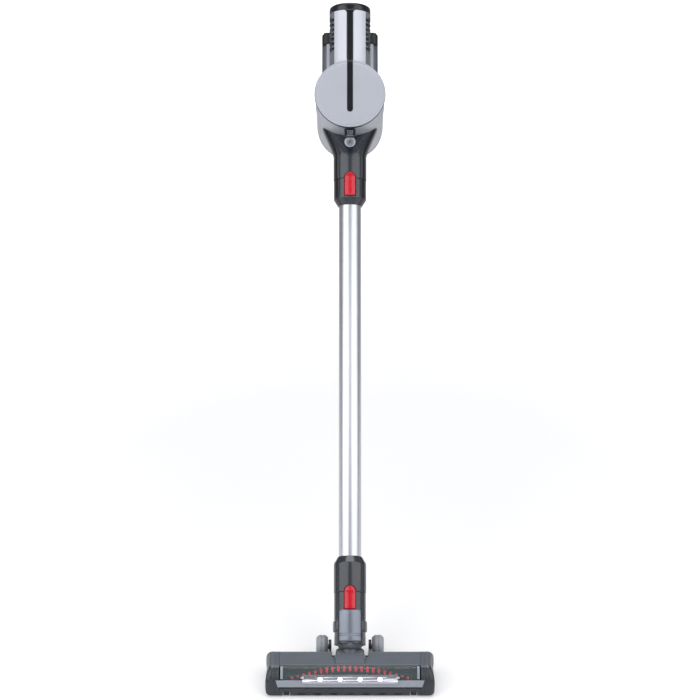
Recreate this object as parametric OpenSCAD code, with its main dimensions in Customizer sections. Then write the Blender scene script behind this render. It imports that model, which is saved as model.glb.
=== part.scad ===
// Cordless stick vacuum: floor head, swivel neck, aluminium wand and hand-held cyclone unit.
// Row frame: +Z up from the floor, the head's front faces -Y, X is the width.

/* [Pose] */
// Lean of the wand back from upright, degrees
lean = 40; // [30:1:45]
// Tilt of the cyclone axis from the wand's normal, degrees
cyclone_tilt = 3; // [0:0.5:5]

/* [Wand] */
// Outer radius of the aluminium tube
tube_r = 17; // [16:0.5:18]
// Wall of the aluminium tube
tube_wall = 1.2; // [0.8:0.1:1.8]
// Radius of the upper collar and of the inlet neck
collar_r = 24.4; // [23.5:0.1:25.5]
// Radius of the lower collar
lower_collar_r = 24; // [23.5:0.1:24.5]
// Radius of the head's neck tube
neck_r = 23.5; // [23:0.1:24]
// Place of the seam between the head's neck and the wand, along the wand
low_seam = 97; // [92:1:102]
// Place of the seam between the wand and the hand-held unit, along the wand
high_seam = 738; // [700:1:760]
// Width of a release button
button_w = 16.8; // [16:0.2:18.4]

/* [Hand-held unit] */
// Radius of the round top cover
cover_r = 54.7; // [53.5:0.1:56]
// Radius of the cyclone head ring
ring_r = 53.2; // [52.8:0.1:53.4]
// Outer radius of the dust cup
cup_r = 52; // [51.5:0.1:52.2]
// Depth of the fixed cyclone ring, from the cover's face
ring_depth = 62; // [58:1:66]
// Depth of the whole cup, from the cover's face to the lid's underside
cup_depth = 168; // [160:1:172]
// Radius of the motor housing
motor_r = 32; // [31:0.5:32.5]
// Place of the trigger's pivot along the handle
trigger_at = 18; // [16:1:20]
// Width of the battery pack
pack_w = 89; // [87:1:92]
// Radius of one battery cell
cell_r = 9.1; // [9:0.05:9.2]

/* [Floor head] */
// Width of the head between the end caps
body_w = 210; // [206:2:212]
// Overall width of the head
head_w = 252; // [248:2:256]
// Radius over the bristle tips
bristle_r = 17.8; // [16.5:0.1:18.2]
// Radius of a rear wheel
wheel_r = 18; // [17:0.5:19]
// Width of a rear wheel
wheel_w = 18; // [16:1:20]
// Radius of a front roller
roller_r = 6.5; // [6:0.1:7]

/* [Hidden] */
$fn = 64;

light_gray = "#c3c6d0";
silver = "#e3e6ef";
mid_gray = "#7c828b";
dark_gray = "#474d55";
near_black = "#22262e";
red = "#d81c33";
steel = "#b9bcc2";

run = 0.06;              // radial clearance of a running fit
slip = 0.35;             // clearance around a button in its pocket
gap = 0.05;              // clearance between pieces fixed to each other

// Frames
head_front = -413;       // row Y of the head's front edge
wand_foot = [60, 30];    // where the wand's axis meets the head, from the front edge
cover_f = 50;            // the round cover's face, in front of the wand's axis
cyclone_at = 864.6;      // the cyclone's axis, along the wand
motor_f = 14;            // the motor's axis, in front of the wand's axis

// Head section: two arcs, front and rear, joined by a rising top
front_arc = [26.5, 17.5];
front_arc_r = 25.6;
rear_arc = [50, 20.5];
rear_arc_r = 22.6;
sole_z = 1.5;
window_top = 103;        // angles on the front arc
window_bottom = 156;
brush_at = [24, 19.5];
pitch_at = [63, 22];
motor_at = [58.5, 20];
wheel_at = [107.8, wheel_r];
roller_at = [6.8, roller_r];
cutout_w = 54;           // the neck's gap in the head
bar_half = 71;
led_pitch = 29.6;

swivel_at = 25;          // the swing pivot, along the wand
neck_foot = 18.7;        // the neck tube's lower rim
socket_floor = 60;
motor_top = 1002;        // top of the motor housing, along the wand
cap_top = 1014;
motor_foot = 905;
dock_y = 95;             // the battery dock's front face, behind the wand's axis
pack_y = 104.3;
pack_back = 146;
pack_foot = 918;
pack_top = 1010;
pack_cap_at = 991;
handle_tilt = 7;
handle_at = [16, 974];
hinge_at = [-cup_r - 3.2, 8.5 - cup_depth];
latch_at = [cup_r + 3.4, 16 - cup_depth];

// Children stand on the wand's axis: +Z along the wand, -Y to the front
module wand_frame()
    translate([0, head_front + wand_foot[0], wand_foot[1]]) rotate([-lean, 0, 0]) children();

// Children lie on the cyclone's axis: +Z out of the cover's face, +Y up along the wand
module cyclone_frame()
    wand_frame() translate([0, -cover_f, cyclone_at]) rotate([90 - cyclone_tilt, 0, 0]) children();

// Children lie on the suction motor's axis: +Z along the wand
module motor_frame() wand_frame() translate([0, -motor_f, 0]) children();

// Children lie on the handle's axis: +Z away from the motor, +Y to the trigger's side
module handle_frame()
    wand_frame() translate([0, handle_at[0], handle_at[1]]) rotate([handle_tilt - 90, 0, 0]) children();

module head_frame() translate([0, head_front, 0]) children();

// Extrudes a (Y, Z) section of the head from x0 to x1
module along_x(x0, x1) translate([x0, 0, 0]) rotate([90, 0, 90]) linear_extrude(x1 - x0) children();

// A cylinder along X at a (Y, Z) place
module x_rod(at, r, x0, x1) translate([x0, at[0], at[1]]) rotate([0, 90, 0]) cylinder(r = r, h = x1 - x0);

// A cylinder along -Y at a height on the wand, from y0 forward to y1
module front_rod(z, r, y0, y1) translate([0, y0, z]) rotate([90, 0, 0]) cylinder(r = r, h = y0 - y1);

module both_sides() {
    children();
    mirror([1, 0, 0]) children();
}

module ring(r_out, r_in, z0, z1)
    difference() {
        translate([0, 0, z0]) cylinder(r = r_out, h = z1 - z0);
        translate([0, 0, z0 - 1]) cylinder(r = r_in, h = z1 - z0 + 2);
    }

// A wall from r_in to r_out about Z between two angles
module ring_sector(r_out, r_in, z0, z1, a0, a1)
    rotate([0, 0, a0]) rotate_extrude(angle = a1 - a0)
        translate([r_in, z0]) square([r_out - r_in, z1 - z0]);

module rounded_rect(w, d, r) {
    square([w - 2 * r, d], center = true);
    square([w, d - 2 * r], center = true);
    for (x = [-1, 1], y = [-1, 1]) translate([x * (w / 2 - r), y * (d / 2 - r)]) circle(r);
}

function arc(c, r, a0, a1, n) =
    [for (i = [0:n]) let (a = a0 + (a1 - a0) * i / n) [c[0] + r * cos(a), c[1] + r * sin(a)]];

// ---------- release buttons: flat foot, round top, seen from the front ----------
module button_outline(z0, z1, grow) {
    translate([-button_w / 2 - grow, z0 - grow]) square([button_w + 2 * grow, z1 - z0 + grow]);
    translate([0, z1]) circle(button_w / 2 + grow);
}

module button_block(z0, z1, grow, y_in, y_out)
    translate([0, -y_in, 0]) rotate([90, 0, 0]) linear_extrude(y_out - y_in) button_outline(z0, z1, grow);

module release_button(z0, z1, r_out, r_in)
    intersection() {
        button_block(z0, z1, 0, r_in, r_out + 4);
        translate([0, 0, z0 - 5]) cylinder(r = r_out, h = 60, $fn = 96);
    }

// ---------- wand ----------
upper_button_z = [high_seam - 28, high_seam - 0.4];
lower_button_z = [low_seam - 26.3, low_seam + 0.2];
button_in = 20.2;        // inner face of a release button, from the wand's axis
pocket_in = 17.9;        // floor of its pocket
button_proud = 1.7;

module wand_tube() color(silver) wand_frame() ring(tube_r, tube_r - tube_wall, socket_floor + 2, high_seam + 46);

module upper_collar() color(dark_gray) wand_frame()
    difference() {
        rotate_extrude() polygon([[tube_r + gap, high_seam - 41], [tube_r + 0.6, high_seam - 41],
            [collar_r, high_seam - 30], [collar_r, high_seam - 0.2], [tube_r + gap, high_seam - 0.2]]);
        button_block(upper_button_z[0], upper_button_z[1], slip, pocket_in, collar_r + 5);
    }

module lower_collar() color(dark_gray) wand_frame()
    difference() {
        rotate_extrude() polygon([[tube_r + gap, low_seam + 0.3], [lower_collar_r, low_seam + 0.3],
            [lower_collar_r, low_seam + 44], [tube_r + 0.7, low_seam + 55], [tube_r + gap, low_seam + 55]]);
        button_block(lower_button_z[0], lower_button_z[1], slip, pocket_in, lower_collar_r + 5);
    }

module wire_duct() color(near_black) wand_frame()
    translate([-4, tube_r - 6.5, socket_floor + 10]) cube([8, 4, high_seam - socket_floor + 28]);

module upper_button() color(red) wand_frame()
    release_button(upper_button_z[0], upper_button_z[1], collar_r + button_proud, button_in);

// ---------- neck of the floor head ----------
module neck_tube() color(dark_gray) wand_frame()
    difference() {
        union() {
            rotate_extrude() polygon([[20.4, neck_foot], [neck_r, neck_foot], [neck_r, low_seam],
                [tube_r + run, low_seam], [tube_r + run, socket_floor], [14, socket_floor],
                [14, 45], [20.4, 42]]);
            both_sides() ring_sector(neck_r + 2.3, neck_r - 0.6, 38, 55, -42, 50);
        }
        button_block(lower_button_z[0], lower_button_z[1], slip, pocket_in, neck_r + 5);
        front_rod(15.5, 7, 0, -neck_r - 4);
        front_rod(swivel_at, 3, 22.4, -22.4);
    }

module neck_panel() color(light_gray) wand_frame()
    difference() {
        ring_sector(neck_r + 1.1, neck_r + gap, 20, low_seam - 27.2, -133, -47);
        front_rod(15.5, 7.4, 0, -neck_r - 4);
        ring(neck_r + 3, neck_r + 0.6, 33, 34.2);
    }

module lower_button() color(red) wand_frame()
    release_button(lower_button_z[0], lower_button_z[1], neck_r + button_proud + 0.4, button_in);

// The barrel lies on the hood's axis; the ball stands in the neck; the stubs carry the pitch
module swivel_knuckle() color(mid_gray) {
    wand_frame() difference() {
        union() {
            intersection() {
                translate([0, 0, swivel_at]) sphere(r = 19.9, $fn = 96);
                translate([0, 0, 12.6]) cylinder(r = 25, h = 25.4);
            }
            translate([0, 3, 3]) cylinder(r = 12.9, h = 12);
            translate([0, 4, 0]) rotate([0, 90, 0]) rotate_extrude()
                polygon(concat([[0, -21.5]], arc([9.5, -16.5], 5, -90, 0, 6),
                    arc([9.5, 16.5], 5, 0, 90, 6), [[0, 21.5]]));
        }
        translate([0, 1, 2]) cylinder(r = 10.5, h = 40);
        translate([0, 4, 0]) rotate([140, 0, 0]) translate([0, 0, -1]) cylinder(r = 8.5, h = 30);
        front_rod(swivel_at, 3 + run, 30, -30);
    }
    head_frame() both_sides() x_rod(pitch_at, 5, 15, 27);
}

module knuckle_pins() color(steel) wand_frame()
    for (s = [-1, 1]) translate([0, s * 20, swivel_at]) rotate([90, 0, 0]) cylinder(r = 3 - 0.01, h = 4.6, center = true);

// ---------- inlet duct: socket neck, funnel and port ----------
neck_top = high_seam + 41;
duct_gap = 0.6;          // between the funnel and the cup, which slides past it
boss_z = 796.2;
boss_r = 9.5;
boss_y = -19;

module funnel(r_low, half_w, y0, y1, corner, z0, z1)
    hull() {
        translate([0, 0, z0]) cylinder(r = r_low, h = 1, $fn = 48);
        for (x = [-1, 1], y = [y0 + corner, y1 - corner])
            translate([x * (half_w - corner), y, z1]) cylinder(r = corner, h = 1, $fn = 32);
    }

module inlet_duct() color(dark_gray) difference() {
    wand_frame() difference() {
        union() {
            translate([0, 0, high_seam + 0.2]) cylinder(r = collar_r, h = neck_top - high_seam);
            funnel(collar_r, 44, 4, 50, 13, neck_top - 1, 834);
            front_rod(boss_z, boss_r + 0.8, 0, boss_y);
        }
        translate([0, 0, high_seam - 1]) cylinder(r = tube_r + run, h = 48.5);
        button_block(upper_button_z[0], upper_button_z[1], slip, pocket_in, collar_r + 5);
        funnel(14.5, 15, -1, 10, 4, high_seam + 47, 812);
        front_rod(boss_z, boss_r - 0.4, -13.5, boss_y - 5);
    }
    cyclone_frame() {
        translate([0, 0, -ring_depth]) cylinder(r = ring_r + gap, h = 80);
        translate([0, 0, -cup_depth - 20]) cylinder(r = cup_r + duct_gap, h = cup_depth);
        latch_block(0.5);
    }
}

module round_button() color(light_gray) wand_frame()
    difference() {
        front_rod(boss_z, boss_r - 0.8, -16, boss_y - 1.5);
        front_rod(boss_z, 2.4, boss_y - 0.9, boss_y - 3);
    }

// ---------- cyclone head ----------
module latch_block(grow)
    translate([-8.6 - grow, -56.6 - grow, -36 - grow]) cube([17.2 + 2 * grow, 3.1 + 2 * grow, 26.5 + 2 * grow]);

// The finger tab that hangs from the slider in front of the round button
module latch_tab() translate([-8.6, -67, -15.5]) cube([17.2, 10.5, 6]);

module cyclone_head() color(light_gray) difference() {
    cyclone_frame() difference() {
        union() {
            ring(ring_r, ring_r - 2.5, -ring_depth, -7.8);
            ring(ring_r - 1.2, ring_r - 2.5, -8, -6.1);
            translate([0, 0, -22]) cylinder(r = ring_r - 1, h = 3);
        }
        for (i = [0:7]) rotate([0, 0, 22.5 + 45 * i]) translate([30, 0, -23]) cylinder(r = 5, h = 5);
        translate([-14, 40, -18.8]) cube([28, 20, 9]);
    }
    wand_frame() funnel(14.5, 15, -1, 10, 4, high_seam + 47, 812);
}

module cover_gasket() color(near_black) cyclone_frame() ring(ring_r + 0.2, ring_r - 1.1, -7.7, -6.1);

stripe_w = 9.3;
stripe_foot = -29.7;     // the round end's centre is a half width above this

module stripe_bar(grow, z0, z1)
    translate([0, 0, z0]) linear_extrude(z1 - z0) {
        translate([-stripe_w / 2 - grow, stripe_foot + stripe_w / 2]) square([stripe_w + 2 * grow, 100]);
        translate([0, stripe_foot + stripe_w / 2]) circle(stripe_w / 2 + grow);
    }

module top_cover() color(light_gray) cyclone_frame()
    difference() {
        rotate_extrude($fn = 96) polygon(concat([[0, -6], [cover_r - 0.6, -6], [cover_r, -5.4]],
            arc([cover_r - 2.5, -2.5], 2.5, 0, 90, 5), [[0, 0.6]]));
        translate([0, 0, -7]) cylinder(r = cover_r - 4, h = 4);
        stripe_bar(0.1, -1, 5);
    }

module stripe() color(near_black) {
    cyclone_frame() intersection() {
        stripe_bar(0, -0.95, 0.75);
        translate([0, 0, -2]) cylinder(r = cover_r - 0.4, h = 6);
    }
    motor_frame() difference() {
        ring_sector(motor_r + 1, motor_r + gap, motor_foot, motor_top - 0.5, -98.3, -81.7);
        translate([0, motor_f, 0]) cover_cut();
    }
}

// Clears the round cover and the cyclone ring from a piece drawn in the wand's frame
module cover_cut()
    translate([0, -cover_f, cyclone_at]) rotate([90 - cyclone_tilt, 0, 0]) {
        translate([0, 0, -6.3]) cylinder(r = cover_r + 0.25, h = 20, $fn = 96);
        translate([0, 0, -200]) cylinder(r = ring_r + 0.3, h = 195, $fn = 96);
    }

module cyclone_cones() color(mid_gray) cyclone_frame()
    difference() {
        union() {
            translate([0, 0, -25.6]) cylinder(r = ring_r - 2.6, h = 3.5);
            for (i = [0:7]) rotate([0, 0, 22.5 + 45 * i]) translate([28, 0, -60]) cylinder(r1 = 4, r2 = 8.5, h = 36);
        }
        for (i = [0:7]) rotate([0, 0, 22.5 + 45 * i]) translate([28, 0, -61]) cylinder(r1 = 2.8, r2 = 7.4, h = 40);
    }

module shroud() color(steel) cyclone_frame()
    difference() {
        union() {
            ring(40, 38.6, -118, -25.7);
            ring(44, 38.6, -121, -118);
        }
        for (i = [0:11]) rotate([0, 0, 15 * i]) translate([-50, -2.2, -112]) cube([100, 4.4, 44]);
    }

// ---------- motor section ----------
vent_count = 7;
vent_pitch = 7.7;
vent_foot = 940;

module motor_housing() color(mid_gray) difference() {
    motor_frame() difference() {
        ring(motor_r, motor_r - 2.5, motor_foot, motor_top);
        for (i = [0:vent_count - 1]) both_sides()
            translate([24.5, -23, vent_foot + vent_pitch * i]) cube([12, 42, 4.6]);
        translate([0, motor_r - 5, handle_at[1] + 1]) rotate([-90, 0, 0]) cylinder(r = 9, h = 10);
    }
    wand_frame() cover_cut();
}

module motor_panels() color(silver) difference() {
    motor_frame() both_sides() ring_sector(motor_r + 0.9, motor_r + gap, motor_foot, motor_top - 0.5, -80.6, -41.4);
    wand_frame() cover_cut();
}

module motor_can() color(steel) motor_frame()
    difference() {
        union() {
            translate([0, 0, 926]) cylinder(r = 21, h = 42);
            ring(motor_r - 2.5 - gap, 20, 931, 934);
        }
        translate([0, 0, 925]) cylinder(r = 19.5, h = 19);
        translate([0, 0, 940]) cylinder(r = 2.5 + run, h = 30);
        for (i = [0:5]) rotate([0, 0, 60 * i]) translate([13, 0, 940]) cylinder(r = 3, h = 30);
    }

module impeller() color(silver) motor_frame() {
    translate([0, 0, 926.5]) cylinder(r = 2.5, h = 38);
    translate([0, 0, 938]) cylinder(r = 18.4, h = 1.6);
    translate([0, 0, 928]) cylinder(r1 = 3, r2 = 9, h = 10.5);
    for (i = [0:8]) rotate([0, 0, 40 * i]) translate([2, -0.6, 930]) rotate([0, 0, 18]) cube([15.6, 1.2, 8.5]);
}

module exhaust_cap() color(near_black) motor_frame()
    difference() {
        rotate_extrude($fn = 96) polygon(concat([[0, motor_top + 0.3], [motor_r, motor_top + 0.3]],
            arc([motor_r - 4, cap_top - 4], 4, 0, 90, 6), [[0, cap_top]]));
        translate([0, 0, motor_top - 1]) cylinder(r = 24.2, h = 10);
        for (i = [0:11]) rotate([0, 0, 30 * i]) translate([9, -1.3, cap_top - 6]) cube([13, 2.6, 8]);
    }

module exhaust_filter() color(light_gray) motor_frame() {
    ring(24, 14, motor_top - 27, motor_top + 8.9);
    translate([0, 0, motor_top - 28.5]) cylinder(r = 24, h = 2);
}

// ---------- handle ----------
module stadium(r, half) {
    square([2 * r, 2 * half], center = true);
    for (s = [-1, 1]) translate([0, s * half]) circle(r);
}

pin_at = [14.5, trigger_at];

module handle() color(dark_gray) difference() {
    union() {
        handle_frame() difference() {
            translate([0, 0, -8]) linear_extrude(98) stadium(15, 5);
            translate([0, 0, 6]) linear_extrude(100) stadium(12.4, 5);
            translate([-7.5, 10, pin_at[1] - 6]) cube([15, 14, 42]);
        }
        handle_frame() x_rod(pin_at, 1.5, -9.4, 9.4);
    }
    motor_frame() cylinder(r = motor_r + gap, h = 1100);
    wand_frame() translate([-50, dock_y - gap, 900]) cube([100, 60, 200]);
}

module grip() color(near_black) handle_frame()
    difference() {
        translate([0, 0, 12]) linear_extrude(58) stadium(16.6, 5.4);
        translate([0, 0, 10]) linear_extrude(62) stadium(15 + gap, 5);
        translate([-20, 1, 10]) cube([40, 30, 62]);
    }

module trigger() color(red) handle_frame()
    difference() {
        union() {
            translate([-7, pin_at[0] - 3, pin_at[1]]) cube([14, 15, 30]);
            x_rod([pin_at[0], pin_at[1]], 4.6, -7, 7);
        }
        x_rod([pin_at[0], pin_at[1]], 1.5 + run, -9, 9);
        x_rod([pin_at[0] + 29, pin_at[1] + 17], 19, -9, 9);
    }

module control_board() color("#2c5a3c") handle_frame()
    translate([-9.5, -9, 40]) cube([19, 1.6, 34]);

// ---------- battery ----------
module pack_slab(w, y0, y1, z0, z1, r) {
    translate([0, (y0 + y1) / 2, z0]) linear_extrude(z1 - z0) rounded_rect(w, y1 - y0, r);
}

module dock_cover() color(silver) wand_frame() pack_slab(74, dock_y, dock_y + 4, pack_foot + 1, pack_cap_at - 0.5, 1.8);

module battery_dock() color(mid_gray) wand_frame()
    difference() {
        pack_slab(77, dock_y + 4.05, pack_y - 0.3, pack_foot + 2, pack_cap_at - 0.5, 2);
        for (x = [-1, 1], z = [935, 980]) translate([x * 28, dock_y + 3, z]) rotate([-90, 0, 0]) cylinder(r = 1.6, h = 8);
    }

module housing_screws() color(steel) wand_frame()
    for (x = [-1, 1], z = [935, 980]) translate([x * 28, dock_y + 4.2, z]) rotate([-90, 0, 0])
        difference() {
            cylinder(r = 1.5, h = 4.6);
            translate([0, 0, 3.4]) cylinder(r = 0.8, h = 3, $fn = 6);
        }

button_z = [923.5, 939.5];

module battery_shell() color(mid_gray) wand_frame()
    difference() {
        pack_slab(pack_w, pack_y, pack_back, pack_foot, pack_cap_at - 0.1, 9);
        pack_slab(pack_w - 5.2, pack_y + 2.6, pack_back - 2.6, pack_foot + 2.6, pack_cap_at + 5, 6.6);
        both_sides() translate([35, 114 - slip, button_z[0] - slip]) cube([20, 14 + 2 * slip, button_z[1] - button_z[0] + 2 * slip]);
    }

module battery_cap() color(near_black) wand_frame()
    difference() {
        union() {
            pack_slab(pack_w, dock_y, pack_back, pack_cap_at, pack_top - 3, 9);
            pack_slab(pack_w - 4, dock_y + 2, pack_back - 2, pack_cap_at, pack_top, 7);
        }
        pack_slab(pack_w - 9, pack_y + 4, pack_back - 4, pack_cap_at - 1, pack_top - 14, 5);
        translate([24, 128, pack_cap_at]) cylinder(r = 4.5 + gap, h = 30);
    }

module battery_cells() color("#3f7fb5") wand_frame()
    for (i = [0:6]) let (row = i < 4 ? 0 : 1, k = i - 4 * row)
        translate([(k - 1.5 + 0.5 * row) * 2 * (cell_r + 0.15), 116 + 16.2 * row, 925]) cylinder(r = cell_r, h = 65);

jack_r = 2.75;

module charge_jack() color(steel) wand_frame()
    translate([24, 128, 0]) difference() {
        translate([0, 0, pack_top - 13]) cylinder(r = 4.5, h = 13.2);
        translate([0, 0, pack_top - 9.8]) cylinder(r = jack_r, h = 12);
    }

module pack_button()
    wand_frame() {
        translate([41.4, 114, button_z[0]]) cube([4.3, 14, button_z[1] - button_z[0]]);
        translate([39.4, 112, button_z[0] - 2]) cube([2.1, 18, button_z[1] - button_z[0] + 4]);
    }

module battery_button_r() color(red) pack_button();
module battery_button_l() color(red) mirror([1, 0, 0]) pack_button();

// ---------- dust cup ----------
module dust_cup() color(light_gray) cyclone_frame()
    difference() {
        union() {
            ring(cup_r, cup_r - 2, -cup_depth + 9.8, -ring_depth - 0.4);
            for (s = [-1, 1]) translate([s * 10 - 3.7, hinge_at[0] - 3, hinge_at[1] + 1.6]) cube([7.4, 8, 8]);
            for (s = [-1, 1]) x_rod(hinge_at, 3, s * 10 - 3.7, s * 10 + 3.7);
            both_sides() translate([8.4, cup_r - 2, latch_at[1] - 3.4]) cube([3, 8, 6.8]);
        }
        x_rod(hinge_at, 1.5, -20, 20);
        x_rod(latch_at, 1.5, -20, 20);
        translate([0, 0, -cup_depth]) cylinder(r = cup_r - 2, h = cup_depth);
    }

module cup_pins() color(steel) cyclone_frame() {
    x_rod(hinge_at, 1.5 - 0.01, -13.6, 13.6);
    x_rod(latch_at, 1.5 - 0.01, -11.3, 11.3);
}

module cup_lid() color(mid_gray) cyclone_frame()
    difference() {
        union() {
            translate([0, 0, -cup_depth]) rotate_extrude($fn = 96) polygon(concat([[0, 0], [cup_r - 4, 0]],
                arc([cup_r - 3.5, 3], 3, -80, 0, 4), [[cup_r - 0.5, 9.4], [0, 9.4]]));
            translate([0, 0, -cup_depth + 9]) cylinder(r = cup_r - 2.5, h = 3);
            translate([-5.8, hinge_at[0], hinge_at[1] - 2.4]) cube([11.6, 8, 3.2]);
            x_rod(hinge_at, 3, -5.8, 5.8);
        }
        x_rod(hinge_at, 1.5 + run, -20, 20);
        translate([0, 0, -cup_depth + 3]) cylinder(r = cup_r - 5, h = 20);
    }

module lid_latch() color(red) cyclone_frame()
    difference() {
        union() {
            translate([-8, latch_at[0] - 2.6, latch_at[1] - 17]) cube([16, 4.4, 26]);
            x_rod(latch_at, 3, -8, 8);
        }
        x_rod(latch_at, 1.5 + run, -20, 20);
    }

module cup_latch() color(near_black) cyclone_frame()
    difference() {
        union() {
            latch_block(0);
            latch_tab();
        }
        translate([0, -61, -10.4]) cylinder(r = 3.4, h = 3);
    }

// ---------- floor head ----------
// The outer section, drawn in by an inset; the sole side stays open to z0
module head_section(inset, z0)
    polygon(concat([[2 + inset, z0], [inset, 4 + inset], [0.4 + inset, 15]],
        arc(front_arc, front_arc_r - inset, 178, 98, 12),
        arc(rear_arc, rear_arc_r - inset, 96, 0, 14), [[rear_arc[0] + rear_arc_r - inset, z0]]));

// The part of the head's skin between two angles seen from the front arc's centre
module skin_sector(inset, thick, a0, a1)
    intersection() {
        difference() {
            head_section(inset, sole_z);
            head_section(inset + thick, sole_z - 5);
        }
        polygon(concat([front_arc], [for (i = [0:6]) let (a = a0 + (a1 - a0) * i / 6)
            front_arc + 90 * [cos(a), sin(a)]]));
    }

// The neck's gap: open at the back, and forward to the fairing
module neck_cutout()
    translate([-cutout_w / 2, 43, 5.5]) cube([cutout_w, 60, 60]);

module head_cover() color(mid_gray) head_frame()
    difference() {
        union() {
            along_x(-body_w / 2, body_w / 2) skin_sector(0, 2.5, 0, window_top - 1);
            for (s = [-1, 1], x = [29, 60, 88]) along_x(s * x - 1, s * x + 1) difference() {
                skin_sector(2.4, 2.2, 20, 93);
                translate(motor_at) circle(10.2);
            }
        }
        neck_cutout();
        translate([-22.2, 24, 36]) cube([44.4, 30, 30]);
    }

module fairing() color(dark_gray) head_frame()
    along_x(-22, 22) polygon([[24.4, 40.9], [24.4, 42.6], [28, 44.4], [33, 47.2], [42.6, 48.4], [42.6, 42.6],
        [34, 41.4]]);

module base_frame() color(dark_gray) head_frame()
    difference() {
        union() {
            along_x(-body_w / 2, body_w / 2) polygon([[2, sole_z], [0, 4], [0.4, 15], [3, 15.4], [3.2, 6],
                [72.4, 6], [72.4, sole_z]]);
            along_x(-body_w / 2, body_w / 2) polygon([[69.4, 4], [72.4, 4], [72.4, 16.6], [69.4, 16.6]]);
            both_sides() along_x(-body_w / 2, -24) polygon([[43, 4], [44.6, 4], [44.6, 32], [43, 32]]);
            both_sides() along_x(22.5, 27) {
                translate(pitch_at) circle(8.6);
                polygon([[54, 4], [71, 4], [71, 22], [54.4, 22]]);
            }
            both_sides() along_x(28, 32.4) {
                translate(wheel_at) circle(11);
                polygon([[70, 4], [107, 7], [107, 24], [78, 15]]);
            }
            along_x(-32, 32) polygon([[71.8, 3.4], [88, 3.4], [88, 7.4], [71.8, 7.4]]);
        }
        translate([-98, 8, 0]) cube([196, 34.9, 10]);
        translate([-27, 67.8, 7.5]) cube([54, 15, 30]);
        both_sides() x_rod(pitch_at, 5 + run, 15, 30);
        both_sides() x_rod(wheel_at, 4, 20, 40);
        both_sides() translate([89, 2.2, 0]) cube([11, 9, 15]);
        both_sides() x_rod(roller_at, roller_r + 0.8, 89, 100);
        both_sides() x_rod(roller_at, 1.5, 82.5, 104.8);
        for (i = [-3:3]) translate([i * 24 - 5, -1, 4.4]) cube([10, 2.4, 3]);
        translate([88, 40, 6.05]) cube([12, 10, 40]);
    }

module brush_window() color("#31504c", 0.5) head_frame()
    along_x(-103.5, 103.5) skin_sector(0.2, 1.8, window_top, window_bottom);

module silver_strip() color(light_gray) head_frame()
    intersection() {
        along_x(-111, 111) skin_sector(-0.5, 2, window_bottom + 0.6, 181);
        rotate([90, 0, 0]) linear_extrude(80, center = true)
            polygon([[-107, 16], [107, 16], [111, 29], [-111, 29]]);
    }

module arc_bar(r_in, r_out, a0, a1)
    polygon(concat(arc(front_arc, r_out, a0, a1, 5), arc(front_arc, r_in, a1, a0, 5)));

bar_out = front_arc_r + 2.6;

module led_place(r)
    for (i = [-1.5:1.5]) translate([i * led_pitch, front_arc[0] + r * cos(153), front_arc[1] + r * sin(153)])
        rotate([63, 0, 0]) children();

module light_bar() color(silver) head_frame()
    difference() {
        union() {
            along_x(-bar_half, bar_half) arc_bar(front_arc_r + 0.65, bar_out, 139, 166);
            for (s = [-1, 1]) translate([s * bar_half, front_arc[0] + 27.9 * cos(148), front_arc[1] + 27.9 * sin(148)])
                rotate([0, 90, 0]) cylinder(r = 1.5, h = 5, center = true);
        }
        led_place(front_arc_r + 1.2) cylinder(r = 3.2, h = 8);
    }

module led_lenses() color("#ffffff") head_frame() led_place(front_arc_r + 1.25) cylinder(r = 3.15, h = 1.9);

module end_caps() color(dark_gray) head_frame() both_sides() {
    difference() {
        intersection() {
            along_x(body_w / 2 + 0.1, head_w / 2) head_section(-0.3, sole_z);
            rotate([90, 0, 0]) translate([0, 0, -90]) linear_extrude(100)
                polygon([[100, 0], [head_w / 2 - 2, 0], [head_w / 2, 12], [head_w / 2, 31], [head_w / 2 - 5, 45],
                    [100, 45]]);
        }
        along_x(body_w / 2 - 1, head_w / 2 - 11) head_section(2.4, -5);
        along_x(body_w / 2 - 1, 112) skin_sector(-1.2, 3.9, window_bottom - 1, 184);
    }
    x_rod(brush_at, 3, 95, head_w / 2 - 10.5);
    x_rod(brush_at, 7, 106, head_w / 2 - 10.5);
}

module axle_pins() color(steel) head_frame() both_sides() {
    x_rod(wheel_at, 4 - 0.01, 28, 50);
    x_rod(roller_at, 1.5 - 0.01, 83.5, 104.4);
}

module tyre_profile(r, w, edge) {
    polygon(concat([[4 + run, -w / 2], [r - edge, -w / 2]], arc([r - edge, -w / 2 + edge], edge, -90, 0, 5),
        arc([r - edge, w / 2 - edge], edge, 0, 90, 5), [[4 + run, w / 2]]));
}

module rear_wheel(x) color(light_gray) head_frame()
    translate([x, wheel_at[0], wheel_at[1]]) rotate([0, 90, 0]) rotate_extrude($fn = 72)
        tyre_profile(wheel_r, wheel_w, 6);

module rear_wheel_l() rear_wheel(-42);
module rear_wheel_r() rear_wheel(42);

module front_roller(x) color(near_black) head_frame()
    difference() {
        x_rod(roller_at, roller_r, x - 4.6, x + 4.6);
        x_rod(roller_at, 1.5 + run, x - 6, x + 6);
    }

module front_roller_l() front_roller(-94.5);
module front_roller_r() front_roller(94.5);

// ---------- brush drive ----------
pulley_x = [93, 99];
brush_pulley_r = 8;
motor_pulley_r = 4;

module drive_motor() color(steel) head_frame()
    difference() {
        x_rod(motor_at, 9.5, 42, 86);
        x_rod(motor_at, 2 + run, 70, 90);
    }

module motor_pulley() color(near_black) head_frame() {
    x_rod(motor_at, 2, 72, pulley_x[1]);
    x_rod(motor_at, motor_pulley_r, pulley_x[0], pulley_x[1]);
}

module brush_core() color(near_black) head_frame()
    difference() {
        union() {
            x_rod(brush_at, 9, -100.6, pulley_x[0] - 1);
            x_rod(brush_at, brush_pulley_r, pulley_x[0] - 2, 100.6);
        }
        both_sides() x_rod(brush_at, 3 + run, 94, 104);
    }

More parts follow.
